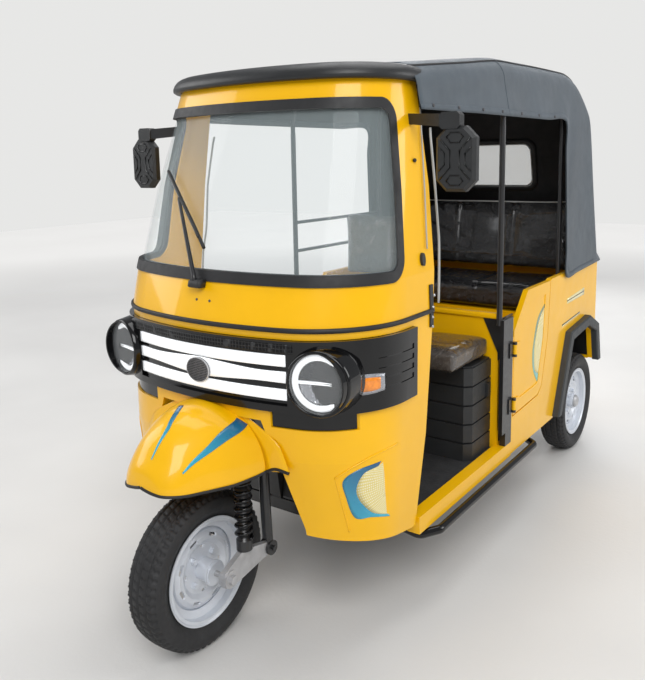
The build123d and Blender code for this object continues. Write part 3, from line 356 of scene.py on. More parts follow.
def add_tube(name, path, radius, look, sides=8, body="body"):
    """A closed round tube along a path, its two ends drawn in to a point."""
    path = np.asarray(path, float)
    inner = tube_points(path, 1.0, sides) - path[:, None]
    size = np.concatenate([[1e-5], np.broadcast_to(radius, (len(path),)), [1e-5]])
    path = np.concatenate([path[:1], path, path[-1:]])
    ring = np.concatenate([inner[:1], inner, inner[-1:]])
    faces = grid_faces(len(path), sides, wrap_cols=True)
    return add_mesh(name, path[:, None] + size[:, None, None] * ring, faces, look, body)


def smooth_path(corners, steps=12):
    """A Catmull-Rom curve through the given corners: on each run the point is the cubic that
    leaves and arrives along the line between its neighbours."""
    p = np.asarray(corners, float)
    ext = np.concatenate([[2 * p[0] - p[1]], p, [2 * p[-1] - p[-2]]])
    t = np.linspace(0, 1, steps, endpoint=False)[:, None]
    runs = []
    for a, b, c, d in zip(ext, ext[1:], ext[2:], ext[3:]):
        runs.append(0.5 * (2 * b + (c - a) * t + (2 * a - 5 * b + 4 * c - d) * t ** 2
                           + (3 * b - a - 3 * c + d) * t ** 3))
    return np.concatenate(runs + [p[-1:]])


# Camera, light and floor

def make_camera():
    """The photograph's viewpoint, found from the wheels' circles and the lamps."""
    az, pitch, roll = (math.radians(v) for v in (35.155, -9.178, -1.019))
    look = Vector((-math.sin(az) * math.cos(pitch), math.cos(az) * math.cos(pitch), math.sin(pitch)))
    right = Vector((math.cos(az), math.sin(az), 0))
    up = right.cross(look)
    level = math.cos(roll) * right + math.sin(roll) * up
    top = -math.sin(roll) * right + math.cos(roll) * up
    camera = bpy.data.objects.new("camera", bpy.data.cameras.new("camera"))
    bpy.context.scene.collection.objects.link(camera)
    turn = Matrix((level, top, -look)).transposed()
    camera.matrix_world = Matrix.Translation((1.5876, -2.6337, 1.4899)) @ turn.to_4x4()
    camera.data.sensor_width = 36
    camera.data.lens = 748.72 / 680 * 36
    camera.data.shift_x = -7.2 / 680
    camera.data.shift_y = -60.6 / 680
    camera.data.clip_start = 0.05
    bpy.context.scene.camera = camera


def add_lamp(name, place, aim, size, power):
    """A soft square lamp pointed at a place."""
    data = bpy.data.lights.new(name, "AREA")
    data.shape = "RECTANGLE"
    data.size = data.size_y = size
    data.energy = power
    lamp = bpy.data.objects.new(name, data)
    lamp.location = place
    lamp.rotation_euler = (Vector(aim) - Vector(place)).to_track_quat("-Z", "Y").to_euler()
    bpy.context.scene.collection.objects.link(lamp)


def make_world():
    """A pale world, brighter where the camera sees it than where it lights."""
    world = bpy.data.worlds.new("studio")
    bpy.context.scene.world = world
    world.use_nodes = True
    tree = world.node_tree
    back = tree.nodes["Background"]
    feed(tree, back, {"Color": (0.86, 0.88, 0.92, 1), "Strength": 0.42})
    rays = add_node(tree, "LightPath")
    pale = add_node(tree, "Background", {"Color": (0.80, 0.80, 0.79, 1), "Strength": 1.0})
    choose = add_node(tree, "MixShader", {0: rays.outputs["Is Camera Ray"],
                                          1: back.outputs[0], 2: pale.outputs[0]})
    feed(tree, tree.nodes["World Output"], {"Surface": choose.outputs[0]})


def make_studio():
    """A pale world, five soft lamps and a pale floor that glows more with distance."""
    scene = bpy.context.scene
    scene.view_settings.view_transform = "Standard"
    make_world()
    half = 14.0
    points = [(-half, -half, 0), (half, -half, 0), (half, half, 0), (-half, half, 0)]
    data = bpy.data.meshes.new("floor")
    data.from_pydata(points, [], [(0, 1, 2, 3)])
    floor = bpy.data.objects.new("floor", data)
    scene.collection.objects.link(floor)
    look = finish_of("pale_floor", (0.70, 0.69, 0.67), 0.6, mottle=0.05, mottle_scale=0.7,
                     grain=0.0006, grain_scale=60.0)
    tree = look.node_tree
    reach = add_node(tree, "VectorMath")
    reach.operation = "LENGTH"
    feed(tree, reach, {0: add_node(tree, "TexCoord").outputs["Object"]})
    glow = spread(tree, reach.outputs["Value"], 0.0, 0.8, 3.0, 10.0)
    feed(tree, tree.nodes["Principled BSDF"], {"Emission Strength": glow})
    data.materials.append(look)
    # columns: name, place, aim, size, power
    for lamp in (("key", (3.2, -4.2, 4.6), (0, 0, 0.7), 3.2, 210),
                 ("fill", (-4.6, -2.2, 3.2), (0, 0, 0.8), 3.0, 90),
                 ("side", (4.8, 2.4, 2.8), (0, 0.3, 0.8), 2.6, 90),
                 ("top", (0, 0.6, 5.0), (0, 0, 0), 3.6, 110),
                 ("back", (-1.5, 5.0, 3.2), (0, 0, 0.9), 3.0, 90)):
        add_lamp(*lamp)


# Wheels

def tyre_surface(tread):
    """A tyre about the X axis. Each ring follows the section: bead, sidewall and crown given
    by (x, radius) pairs joined smoothly. On the crown the radius drops by the tread's depth in
    three grooves round the tyre and in slanted sipes, whose angle shifts with x."""
    section = np.array([(-41, 157), (-44, 172), (-56, 190), (-62, 205), (-60, 221), (-56, 229),
                        (-50, 236), (-47, 240)]) / 1000
    wall_x, wall_r = smooth_path(section, 3)[:-1].T
    crown_x = np.linspace(-0.047, 0.047, 39)
    crown_r = TYRE_R - 0.0045 * (np.abs(crown_x) / 0.047) ** 2.4
    x = np.concatenate([wall_x, crown_x, -wall_x[::-1]])
    r = np.concatenate([wall_r, crown_r, wall_r[::-1]])
    turns = 420
    a = np.linspace(0, 2 * np.pi, turns, endpoint=False)
    xx, aa = np.meshgrid(x, a, indexing="ij")
    rr = np.repeat(r[:, None], turns, 1)
    on_crown = (np.abs(xx) < 0.0555) & (rr > 0.228)
    groove = np.zeros_like(rr)
    for centre, wide in ((-0.028, 0.0032), (0.0, 0.0028), (0.028, 0.0032)):
        groove = np.maximum(groove, np.clip(1.6 - np.abs(xx - centre) / wide, 0, 1))
    wave = np.sin(aa * 60 + xx * 95 + (np.abs(xx) > 0.028) * 1.4)
    sipe = np.clip((wave - 0.72) * 5, 0, 1) * (np.abs(xx) > 0.006)
    lug = np.clip((np.sin(aa * 60 + 0.6) - 0.35) * 4, 0, 1) * (np.abs(xx) > 0.042)
    rr = rr - on_crown * tread * np.maximum(groove, np.maximum(0.7 * sipe, 0.9 * lug))
    ribs = 0.0006 * (np.sin(aa * 180) > 0.2) * ((rr > 0.196) & (rr < 0.204))
    xx = xx + np.sign(xx) * ribs
    return np.stack([xx, rr * np.sin(aa), rr * np.cos(aa)], -1)


def make_tyres():
    """Three tyres with tread, in place of the plain CAD ones."""
    surface = tyre_surface(0.0055)
    faces = grid_faces(*surface.shape[:2], wrap_rows=True, wrap_cols=True)
    # columns: node, body, x, y
    rear = AXLE_Y + WHEELBASE
    for node, body, x, y in (("front_tyre", "front_wheel", 0.0, AXLE_Y),
                             ("rear_tyre_left", "rear_wheel_left", TRACK / 2, rear),
                             ("rear_tyre_right", "rear_wheel_right", -TRACK / 2, rear)):
        tyre = add_mesh("treaded_" + node, surface + (x, y, TYRE_R), faces, "tyre", body)
        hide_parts(node)


# The shell's shape, for what lies on it

# columns: z, front y at the middle, bow of the front, half width, corner radius, rear y
SHELL_ROWS = np.array([(322, 112, 85, 505, 215, 470), (620, 66, 100, 518, 260, 515),
                       (1020, 50, 120, 520, 310, 560), (1140, 88, 120, 516, 280, 572),
                       (1400, 172, 110, 492, 265, 580), (1766, 302, 100, 436, 235, 585)], float)


def shell(s, z, proud=0.0):
    """Points on the cab shell, or proud of it, in millimetres. s runs along the outline from
    the middle: first on the large front circle, then round the corner's circle, then straight
    back. The outline's sizes at height z lie between those of the table's rows."""
    s, z = np.broadcast_arrays(np.asarray(s, float), np.asarray(z, float))
    front, bow, half, corner = (np.interp(z, SHELL_ROWS[:, 0], SHELL_ROWS[:, k])
                                for k in (1, 2, 3, 4))
    front, half, corner = front - proud, half + proud, corner + proud
    big = (half ** 2 + bow ** 2) / (2 * bow)
    cx, middle = half - corner, front + big
    cy = middle - np.sqrt((big - corner) ** 2 - cx ** 2)
    lead = np.arctan2(cx, middle - cy)
    first, second = big * lead, corner * (np.pi / 2 - lead)
    t = np.abs(s)
    turn = lead + (t - first) / corner
    x = np.where(t < first, big * np.sin(t / big),
                 np.where(t < first + second, cx + corner * np.sin(turn), half))
    y = np.where(t < first, middle - big * np.cos(t / big),
                 np.where(t < first + second, cy - corner * np.cos(turn),
                          cy + t - first - second))
    return np.stack([np.sign(s) * x, y, z], -1)


def add_slab(name, outer, inner, look, body="body", mapped=False):
    """A closed slab between two grids of points, its rims joined, in the frame. Its map, where
    it has one, runs from 0 to 1 along the rows and across them."""
    rows, cols = outer.shape[:2]
    count = rows * cols
    faces = grid_faces(rows, cols)
    faces += [[count + k for k in reversed(f)] for f in faces]
    index = np.arange(count).reshape(rows, cols)
    rim = np.concatenate([index[0, :-1], index[:-1, -1], index[-1, :0:-1], index[:0:-1, 0]])
    for a, b in zip(rim.tolist(), np.roll(rim, -1).tolist()):
        faces.append([b, a, a + count, b + count])
    uv = None
    if mapped:
        u, v = np.meshgrid(np.linspace(0, 1, rows), np.linspace(0, 1, cols), indexing="ij")
        uv = np.concatenate([np.stack([u, v], -1).reshape(-1, 2)] * 2)
    points = np.concatenate([outer.reshape(-1, 3), inner.reshape(-1, 3)])
    piece = add_mesh(name, points, faces, look, body, uv)
    face_outwards(piece)
    return piece


def face_outwards(piece):
    """Turns a closed mesh's faces outwards."""
    work = bmesh.new()
    work.from_mesh(piece.data)
    bmesh.ops.remove_doubles(work, verts=work.verts, dist=1e-6)
    bmesh.ops.recalc_face_normals(work, faces=work.faces)
    work.to_mesh(piece.data)
    work.free()


def between(low, high, steps):
    """A grid between two polylines, whose points are pairs or triples: each is made smooth, and
    five rows run evenly from the first to the second."""
    a, b = (smooth_path(np.asarray(c, float), steps) for c in (low, high))
    w = np.linspace(0, 1, 5)[None, :, None]
    return a[:, None] * (1 - w) + b[:, None] * w


def add_shell_patch(name, low, high, proud, thick, look, side=1, steps=10):
    """A thin piece on the cab shell between two lines of (s, z) pairs."""
    st = between(low, high, steps)
    outer, inner = (metres(shell(side * st[..., 0], st[..., 1], lift))
                    for lift in (proud, proud - thick))
    return add_slab(name, outer, inner, look, mapped=True)


def add_disc(name, centre, normal, radius, thick, look, body="body", sides=24, dome=0.0):
    """A round button: a flat or domed face on a short cylinder, its edge slightly rounded."""
    n = np.asarray(normal, float)
    n /= np.linalg.norm(n)
    u = np.cross(n, (0.0, 0.0, 1.0))
    u = np.array((1.0, 0.0, 0.0)) if np.linalg.norm(u) < 0.1 else u / np.linalg.norm(u)
    v = np.cross(n, u)
    edge = min(0.25 * radius, 0.5 * thick)
    profile = [(0.0, 0.0), (radius, 0.0), (radius, thick - edge), (radius - edge, thick)]
    profile += [(radius * k, thick + dome * (1 - k * k)) for k in (0.7, 0.45, 0.2, 0.0)]
    a = np.linspace(0, 2 * np.pi, sides, endpoint=False)
    points = [np.asarray(centre) + n * h + rad * (np.cos(a)[:, None] * u + np.sin(a)[:, None] * v)
              for rad, h in profile]
    piece = add_mesh(name, np.array(points), grid_faces(len(profile), sides, wrap_cols=True),
                     look, body)
    face_outwards(piece)


def add_shell_disc(name, s, z, low, high, radius, thick, look, sides=24, dome=0.0):
    """A round button on the cab shell, low mm proud of it, facing its place at high mm."""
    spot = shell(s, z, low)
    add_disc(name, metres(spot), shell(s, z, high) - spot, radius, thick, look,
             sides=sides, dome=dome)


# Canopy

ROOF_LINE = [(530, 1778), (700, 1797), (900, 1819), (1168, 1850), (1400, 1857), (1600, 1862),
             (1882, 1864), (1990, 1860), (2080, 1838), (2150, 1790), (2205, 1724), (2240, 1640),
             (2300, 1390), (2355, 1170), (2408, 962)]
HEM_LINE = [(530, 1632), (700, 1632), (900, 1632), (1168, 1632), (1400, 1632), (1600, 1632),
            (1822, 1632), (1831, 1500), (1840, 1360), (1850, 1220), (1860, 1060), (1868, 936),
            (2030, 938), (2220, 944), (2404, 950)]
SIDE_POINTS, TURN_POINTS = 14, 9
# the rear window's opening: half its width, its low and high z, and the y it lies behind
WINDOW_HALF, WINDOW_LOW, WINDOW_HIGH, WINDOW_Y = 199, 1330, 1545, 2100


def canopy_half(y, z):
    """Half width of the canopy in millimetres: upright below the valance line, drawn in above
    it, and a little narrower toward its front edge."""
    wide = np.interp(z, (936, 1632, 1850), (528, 518, 478))
    return wide - np.interp(y, (530, 900), (26, 0))


def canopy_surface(lift=0.0):
    """The canvas as a grid: at each station a section runs from the hem line up the side,
    round a shoulder and across the roof or rear line. The roof swells by 12 mm at the middle
    and sinks by a half sine between the hoops; lift moves everything along the outline."""
    roof, hem = (smooth_path(c, 7) for c in (ROOF_LINE, HEM_LINE))
    along = roof[:, 0]
    deep = np.linalg.norm(hem - roof, axis=1)
    toward = (hem - roof) / deep[:, None]
    radius = np.minimum(92.0, 0.85 * deep)
    turn = np.linspace(0, np.pi / 2, TURN_POINTS)[::-1]
    hoops = np.array([560, 1168, 1560, 1882, 2130, 2408])
    slot_of = np.clip(np.searchsorted(hoops, along) - 1, 0, len(hoops) - 2)
    part = (along - hoops[slot_of]) / (hoops[slot_of + 1] - hoops[slot_of])
    sag = np.sin(np.pi * np.clip(part, 0, 1)) ** 2
    rows = []
    for k in range(len(roof)):
        o, t, rad = roof[k], toward[k], radius[k]
        d_side = np.linspace(rad, deep[k], SIDE_POINTS)
        p_side = o + t * d_side[:, None]
        x_side = canopy_half(p_side[:, 0], p_side[:, 1]) + lift
        x_side = x_side - 5 * sag[k] * np.sin(np.pi * (d_side - rad) / max(deep[k] - rad, 1))
        d_turn = rad * (1 - np.cos(turn))
        x_turn = x_side[0] - rad + rad * np.sin(turn)
        p_turn = o + t * d_turn[:, None]
        flat = x_side[0] - rad
        x_top = np.concatenate([np.linspace(flat, 200, 5)[1:], np.linspace(200, 0, 9)[1:]])
        swell = 12 * (1 - (x_top / flat) ** 2) - 9 * sag[k] * (1 - (x_top / flat) ** 4)
        p_top = o - t * (swell + lift)[:, None]
        p_turn = p_turn - t * lift * np.cos(turn)[:, None]
        x = np.concatenate([x_side[::-1], x_turn[1:], x_top])
        p = np.concatenate([p_side[::-1], p_turn[1:], p_top])
        half = np.concatenate([x[:, None], p], 1)
        rows.append(np.concatenate([half, half[-2::-1] * (-1, 1, 1)]))
    return np.array(rows)


def make_canopy():
    """Canvas with a dark lining and a window cut in its rear, then its trim."""
    outer, inner = canopy_surface(0.0), canopy_surface(-3.0)
    rows, cols = outer.shape[:2]
    count = rows * cols
    y_of, z_of = outer[:, cols // 2, 1:].T
    mid_x = np.abs(outer[:-1, :-1, 0] + outer[1:, 1:, 0]) / 2
    mid_z = ((z_of[:-1] + z_of[1:]) / 2)[:, None] * np.ones(cols - 1)
    hole = ((mid_x < WINDOW_HALF) & (mid_z > WINDOW_LOW) & (mid_z < WINDOW_HIGH)
            & (y_of[:-1, None] > WINDOW_Y))
    quads = [q for q, cut in zip(grid_faces(rows, cols), hole.ravel()) if not cut]
    faces = quads + [[count + v for v in reversed(q)] for q in quads]
    edges = dict.fromkeys((a, b) for q in quads for a, b in zip(q, q[1:] + q[:1]))
    faces += [[b, a, a + count, b + count] for a, b in edges if (b, a) not in edges]
    points = metres(np.concatenate([outer.reshape(-1, 3), inner.reshape(-1, 3)]))
    piece = add_mesh("canopy_canvas", points, faces, ["canvas", "lining"])
    data = piece.data
    which = np.zeros(len(data.polygons), int)
    which[len(quads):2 * len(quads)] = 1
    data.polygons.foreach_set("material_index", which)
    face_outwards(piece)
    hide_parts("canopy")
    make_canopy_trim(outer, y_of)
    make_rear_welt()


def make_canopy_trim(outer, y_of):
    """The canvas's piping along the shoulders and across the rear, a seam at the second hoop,
    the hems and the snaps. y_of is the y of each row of the canvas at its middle."""
    cols = outer.shape[1]
    shoulder = SIDE_POINTS + TURN_POINTS // 2
    stop = int(np.argmax(y_of > 2215))
    for tag, col in (("left", shoulder), ("right", cols - 1 - shoulder)):
        add_tube("piping_" + tag, metres(outer[:stop + 1, col]), 0.0042, "rubber", 10)
    across = outer[stop, shoulder:cols - shoulder]
    add_tube("piping_rear", metres(across), 0.0042, "rubber", 10)
    crease = int(np.argmin(np.abs(y_of - 1168)))
    for tag, ids in (("left", slice(0, shoulder + 1)), ("right", slice(cols - 1 - shoulder, cols))):
        add_tube("hoop_seam_" + tag, metres(outer[crease, ids]), 0.0024, "canvas")
    for (side, tag), col in zip(SIDES, (0, cols - 1)):
        low = outer[:, col]
        drop = outer[:, col + side] - low
        length = np.maximum(np.linalg.norm(drop, axis=1), 1e-6)[:, None]
        high = low + drop / length * np.minimum(26.0, 3.6 * length)
        strip = np.stack([low, (low + high) / 2, high], 1)
        put = np.array((side, 0.0, 0.0))
        add_slab("hem_" + tag, metres(strip + put * 1.6), metres(strip - put * 4.5), "canvas")
    for n, y in enumerate((600, 760, 930, 1100, 1290, 1480, 1670)):
        for side, tag in SIDES:
            x = side * (canopy_half(y, 1645) + 1.2)
            add_disc(f"snap_{n}_{tag}", metres((x, y, 1646)), (side, 0, 0), 0.0062, 0.003,
                     "dark steel", dome=0.001)


def rounded_ring(half_x, half_z, radius, steps=7):
    """Points of a rounded rectangle, anticlockwise from its right side."""
    out = []
    for cx, cz, start in ((1, 1, 0), (-1, 1, 90), (-1, -1, 180), (1, -1, 270)):
        a = np.radians(start + np.linspace(0, 90, steps))
        out.append(np.stack([cx * (half_x - radius) + radius * np.cos(a),
                             cz * (half_z - radius) + radius * np.sin(a)], -1))
    return np.concatenate(out)


def make_rear_welt():
    """The welt round the rear window: a flat rounded frame on the rear curtain."""
    inner, outer = rounded_ring(193, 104, 38), rounded_ring(224, 134, 52)
    slope = (2408 - 2240) / (1640 - 962)

    def place(ring, out):
        """A ring of (x, z) about the window's middle, set on the curtain's sloping line."""
        z = 1438 + ring[:, 1]
        return metres(np.stack([ring[:, 0], 2240 + (1640 - z) * slope + 12 + out, z], -1))

    rings = np.stack([place(outer, 6), place(inner, 6), place(inner, -18), place(outer, -18)])
    faces = grid_faces(4, rings.shape[1], wrap_rows=True, wrap_cols=True)
    face_outwards(add_mesh("rear_window_welt", rings, faces, "rubber"))


# Lamps

LAMP = (402, 104, 872)
LAMP_TURN = 15


def lamp_place(side, u, w, out):
    """A point at a lamp: u across, w up and out along its axis, from the lamp's centre."""
    a = math.radians(LAMP_TURN)
    across = np.array((math.cos(a), side * math.sin(a), 0.0))
    axis = np.array((side * math.sin(a), -math.cos(a), 0.0))
    u, w, out = np.broadcast_arrays(*(np.asarray(v, float) for v in (u, w, out)))
    base = np.array((side * LAMP[0], LAMP[1], LAMP[2]), float)
    flat = base + u[..., None] * across + out[..., None] * axis
    flat[..., 2] += w
    return metres(flat)


def lamp_ring(name, side, profile, look):
    """A ring of revolution about a lamp's axis from a closed profile of (radius, out)."""
    sides = 72
    a = np.linspace(0, 2 * np.pi, sides, endpoint=False)
    r, o = np.array(profile, float).T[..., None]
    points = lamp_place(side, r * np.cos(a), r * np.sin(a), o + 0 * a)
    piece = add_mesh(name, points, grid_faces(len(profile), sides, wrap_rows=True, wrap_cols=True),
                     look)
    face_outwards(piece)
    return piece


def make_headlamp(side, tag):
    """A headlamp with a white ring, a bowl split in a dark and a grey half by two light lines,
    and a domed lens; beside it the indicator in its bezel."""
    lamp_ring("lamp_ring_" + tag, side, [(64, -1), (66, 5), (70, 8), (77, 8), (82, 5), (84, -1)],
              "white light")
    lamp_ring("lamp_trim_" + tag, side, [(86, 12), (87, 18), (91, 20), (95, 17), (97, 8),
              (101, -12), (107, -40), (112, -70), (90, -70), (86, -30)], "black gloss")
    bowl = 63.0
    for half, w0, w1, look in (("upper", 4.2, 62, "lamp dark"), ("lower", -62, -4.2, "lamp grey")):
        w = np.linspace(w0, w1, 15)[:, None]
        u = np.sqrt(np.maximum(bowl ** 2 - w ** 2, 4)) * np.linspace(-1, 1, 25)
        w = w + 0 * u
        far = -3 - 12 * (1 - (u ** 2 + w ** 2) / bowl ** 2) + 1.4 * np.sin(u * 0.55)
        add_slab(f"lamp_bowl_{half}_{tag}", lamp_place(side, u, w, far),
                 lamp_place(side, u, w, far - 3), look)
    for n, middle in enumerate((-2.6, 2.6)):
        u, w = np.meshgrid(np.linspace(-bowl, bowl, 13), (middle - 1.1, middle + 1.1),
                           indexing="ij")
        add_slab(f"lamp_line_{n}_{tag}", lamp_place(side, u, w, 6.0 + 0 * u),
                 lamp_place(side, u, w, -4.0 + 0 * u), "white light")
    steps = (0.25, 0.5, 0.7, 0.85, 0.95, 1)
    dome = [(0.01, 27)] + [(86 * k, 27 - 11 * k ** 3) for k in steps]
    dome += [(86 * k, 24.5 - 11 * k ** 3) for k in reversed(steps)] + [(0.01, 24.5)]
    lens = lamp_ring("lamp_dome_" + tag, side, dome, "lamp lens")
    if side > 0:
        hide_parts("headlamp_lenses")
    add_shell_patch("amber_" + tag, [(505, 838), (536, 835), (566, 835), (590, 838)],
                    [(505, 872), (536, 874), (566, 873), (590, 870)], 20, 8, "amber", side)
    add_shell_patch("amber_bezel_" + tag, [(492, 828), (545, 825), (604, 829)],
                    [(492, 884), (545, 884), (604, 879)], 17, 6, "lamp grey", side)


def make_lamps():
    """The headlamps, the three light bars, of which the middle one's edges swell round the
    emblem, the honeycomb strip above them, and the emblem."""
    for side, tag in SIDES:
        make_headlamp(side, tag)
    s = np.array((-304, -200, -75, 0, 75, 200, 304), float)
    round_emblem = np.array((0, 0, 8, 12, 8, 0, 0), float)
    # columns: name, lower z, upper z, share of the swelling
    for name, low, high, share in (("top", 910, 943, 0), ("middle", 862, 894, 1),
                                   ("low", 810, 842, 0)):
        swell = share * round_emblem
        bar = add_shell_patch("light_bar_" + name, np.stack([s, low - swell], -1),
                              np.stack([s, high + swell], -1), 11, 9, "white light",
                              steps=8)
        if name == "top":
            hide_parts("led_lights")
            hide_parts("indicators")
    ends = (-330, -150, 150, 330)
    add_shell_patch("honeycomb_strip", [(a, 950) for a in ends], [(a, 976) for a in ends], 15.2, 3,
                    "honeycomb", steps=12)
    make_emblem()


def make_emblem():
    """The bare emblem: an oval mesh disc in a bright rim."""
    count, middle = 64, 869
    a = np.linspace(0, 2 * np.pi, count, endpoint=False)
    # columns: half width, half height, out
    rings = [(46, 38, 0), (46.5, 38.5, 5), (44, 36, 8), (40, 32.5, 7.2), (38, 31, 6.4), (1, 1, 7.6)]
    points = [metres(np.stack([rx * np.cos(a), np.full(count, 40.0 - out),
                               middle + rz * np.sin(a)], -1)) for rx, rz, out in rings]
    faces = grid_faces(len(rings), count, wrap_cols=True) + [list(range(count))]
    badge = add_mesh("emblem_blank", np.array(points), faces, "emblem mesh")
    face_outwards(badge)
    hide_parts("emblem_disc")
    a = a[:, None]
    b = np.linspace(0, 2 * np.pi, 10, endpoint=False)[None]
    rim = np.stack([(45 + 2.4 * np.cos(b)) * np.cos(a), 34 - 2.4 * np.sin(b) + 0 * a,
                    middle + (37 + 2.4 * np.cos(b)) * np.sin(a)], -1)
    face_outwards(add_mesh("emblem_rim", metres(rim), grid_faces(count, 10, wrap_rows=True,
                                                                 wrap_cols=True),
                           "cast alloy"))


# Cab trim

def add_run(name, path, profile, look):
    """A moulding on the cab shell: a closed profile of (proud, up) pairs carried along a path
    of (s, z) pairs, its two ends closed by fans."""
    path = np.asarray(path, float)
    rings = np.stack([shell(path[:, 0], path[:, 1] + up, proud) for proud, up in profile], 1)
    count, sides = rings.shape[:2]
    faces = grid_faces(count, sides, wrap_cols=True)
    faces += [list(range(sides)), [(count - 1) * sides + k for k in reversed(range(sides))]]
    piece = add_mesh(name, metres(rings), faces, look)
    face_outwards(piece)
    return piece


def make_cab_trim():
    """The visor's rounded lip, the waist strip's bead, the pillars' strips, rods, pins and
    screws, the screws under the glass, the wiper and the mirrors' pressed lines."""
    s = np.linspace(-676, 676, 91)
    droop = 3 * (np.abs(s) / 676) ** 3
    # columns: proud, height above the header's lower lip
    lip = [(-6, 4), (6, 0), (18, 0), (26, 5), (29, 14), (28, 26), (23, 37), (14, 45), (2, 50),
           (-14, 52), (-24, 51), (-24, 38), (-6, 36)]
    visor = add_run("visor_lip", np.stack([s, 1720 - droop], -1), lip, "visor plastic")
    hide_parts("visor")
    make_cab_roof(s)
    s = np.linspace(-880, 880, 81)
    bead = [(-2, -7), (4, -7), (7, -5), (8, 0), (7, 5), (4, 7), (-2, 7)]
    waist = add_run("waist_bead", np.stack([s, 1013 + 0 * s], -1), bead, "rubber")
    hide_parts("waist_moulding")
    for side, tag in SIDES:
        z = np.linspace(1210, 1640, 16)
        rod = shell(side * np.interp(z, (1210, 1640), (787, 656)), z, 6.0)
        add_tube("curtain_rod_" + tag, metres(rod), 0.0026, "pale rubber")
        z = np.linspace(1030, 1580, 22)
        edge = shell(side * np.interp(z, (1040, 1225, 1573), (905, 866, 735)), z, 1.5)
        add_tube("pillar_edge_" + tag, metres(edge), 0.004, "pale rubber")
        add_shell_disc("curtain_pin_" + tag, side * 652.0, 1480.0, 0.0, 14.0, 0.006, 0.014,
                       "black plastic", dome=0.002)
        for n, z in enumerate((1060.0, 1024.0, 992.0, 962.0)):
            add_shell_disc(f"hinge_screw_{n}_{tag}", side * 868, z, 4.6, 9.0, 0.0045, 0.002,
                           "bright steel", 14, 0.0008)
    for n, s in enumerate((-25.0, 28.0)):
        add_shell_disc(f"scuttle_screw_{n}", s, 1076.0, -0.4, 3.0, 0.0045, 0.0018, "dark steel",
                       14, 0.0008)
    make_wiper()
    make_mirror_lines()


def make_mirror_lines():
    """The pressed lines of the mirrors' housings, each of which comes twice: flipped across
    the housing or from its top to its foot."""
    # x and z from the housing's middle
    spread_out = [(-47, 58), (-15, 24), (-15, -24), (-47, -58)]
    cell = [(-26, 62), (-14, 46), (14, 46), (26, 62), (14, 74), (-14, 74), (-26, 62)]
    near_edge = [(-50, 34), (-32, 16), (-32, -16), (-50, -34)]
    flips = ((spread_out, (1, 1)), (spread_out, (-1, 1)), (cell, (1, 1)), (cell, (1, -1)),
             (near_edge, (1, 1)), (near_edge, (-1, 1)))
    for side, tag in SIDES:
        for n, (line, (fx, fz)) in enumerate(flips):
            path = [(side * (649 + fx * x), 433.6, 1482 + fz * z) for x, z in line]
            add_tube(f"mirror_line_{n}_{tag}", metres(path), 0.0022, "black gloss")


def make_cab_roof(s):
    """The cap between the visor's lip and the canopy's front edge: it leaves the lip's inner
    side and ends 5 mm under the canvas, whose middle swells and whose shoulders are round."""
    flat, round_off = 373, 92
    front = shell(s, 1768.0, -20.0)
    x = front[:, 0]
    beyond = np.clip(np.abs(x) - flat, 0, round_off)
    height = (1773 + 12 * np.clip(1 - (x / flat) ** 2, 0, 1)
              - (round_off - np.sqrt(round_off ** 2 - beyond ** 2)))
    rear = np.stack([x, np.maximum(front[:, 1], 556), height], -1)
    w = np.linspace(0, 1, 9)[None, :, None]
    grid = front[:, None] * (1 - w) + rear[:, None] * w
    grid[..., 2] += 7 * np.sin(np.pi * w[..., 0]) * (1 - (x[:, None] / 440) ** 2)
    add_slab("cab_roof", metres(grid), metres(grid - (0, 0, 3)), "visor plastic")


def make_wiper():
    """A box foot, a flat arm and a long rubber blade that follows the curved glass."""
    s, z = smooth_path([(-25, 1228), (-80, 1285), (-127, 1329), (-177, 1374), (-216, 1407),
                        (-253, 1436), (-284, 1458)], 8).T
    rubber = add_tube("wiper_blade", metres(shell(s, z, 8.0)), 0.0055, "rubber")
    spine = shell(s[4:-4], z[4:-4] + 2, 14.0)
    add_tube("wiper_spine", metres(spine), 0.0038, "black paint")
    arm = np.linspace((-24, 62, 1132), (-177, 160, 1374), 16)
    add_tube("wiper_arm", metres(arm), np.linspace(0.0075, 0.005, 16), "black paint",
             10)
    add_run("wiper_foot", [(-42, 1126), (-38, 1126), (-4, 1126), (2, 1126)],
            [(-2, -13), (27, -12), (33, -7), (33, 7), (27, 12), (-2, 13)], "black plastic")
    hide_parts("wiper")


# Painted marks

FLAT_X = 512.0


def add_flat_patch(name, low, high, side, proud, look, body):
    """A thin painted patch on the flat side, between two lines of (y, z) pairs."""
    y, z = np.moveaxis(between(low, high, 8), -1, 0)
    outer = np.stack([np.full(y.shape, side * (FLAT_X + proud)), y, z], -1)
    add_slab(name, metres(outer), metres(outer - (side * 1.6, 0, 0)), look,
             body, mapped=True)


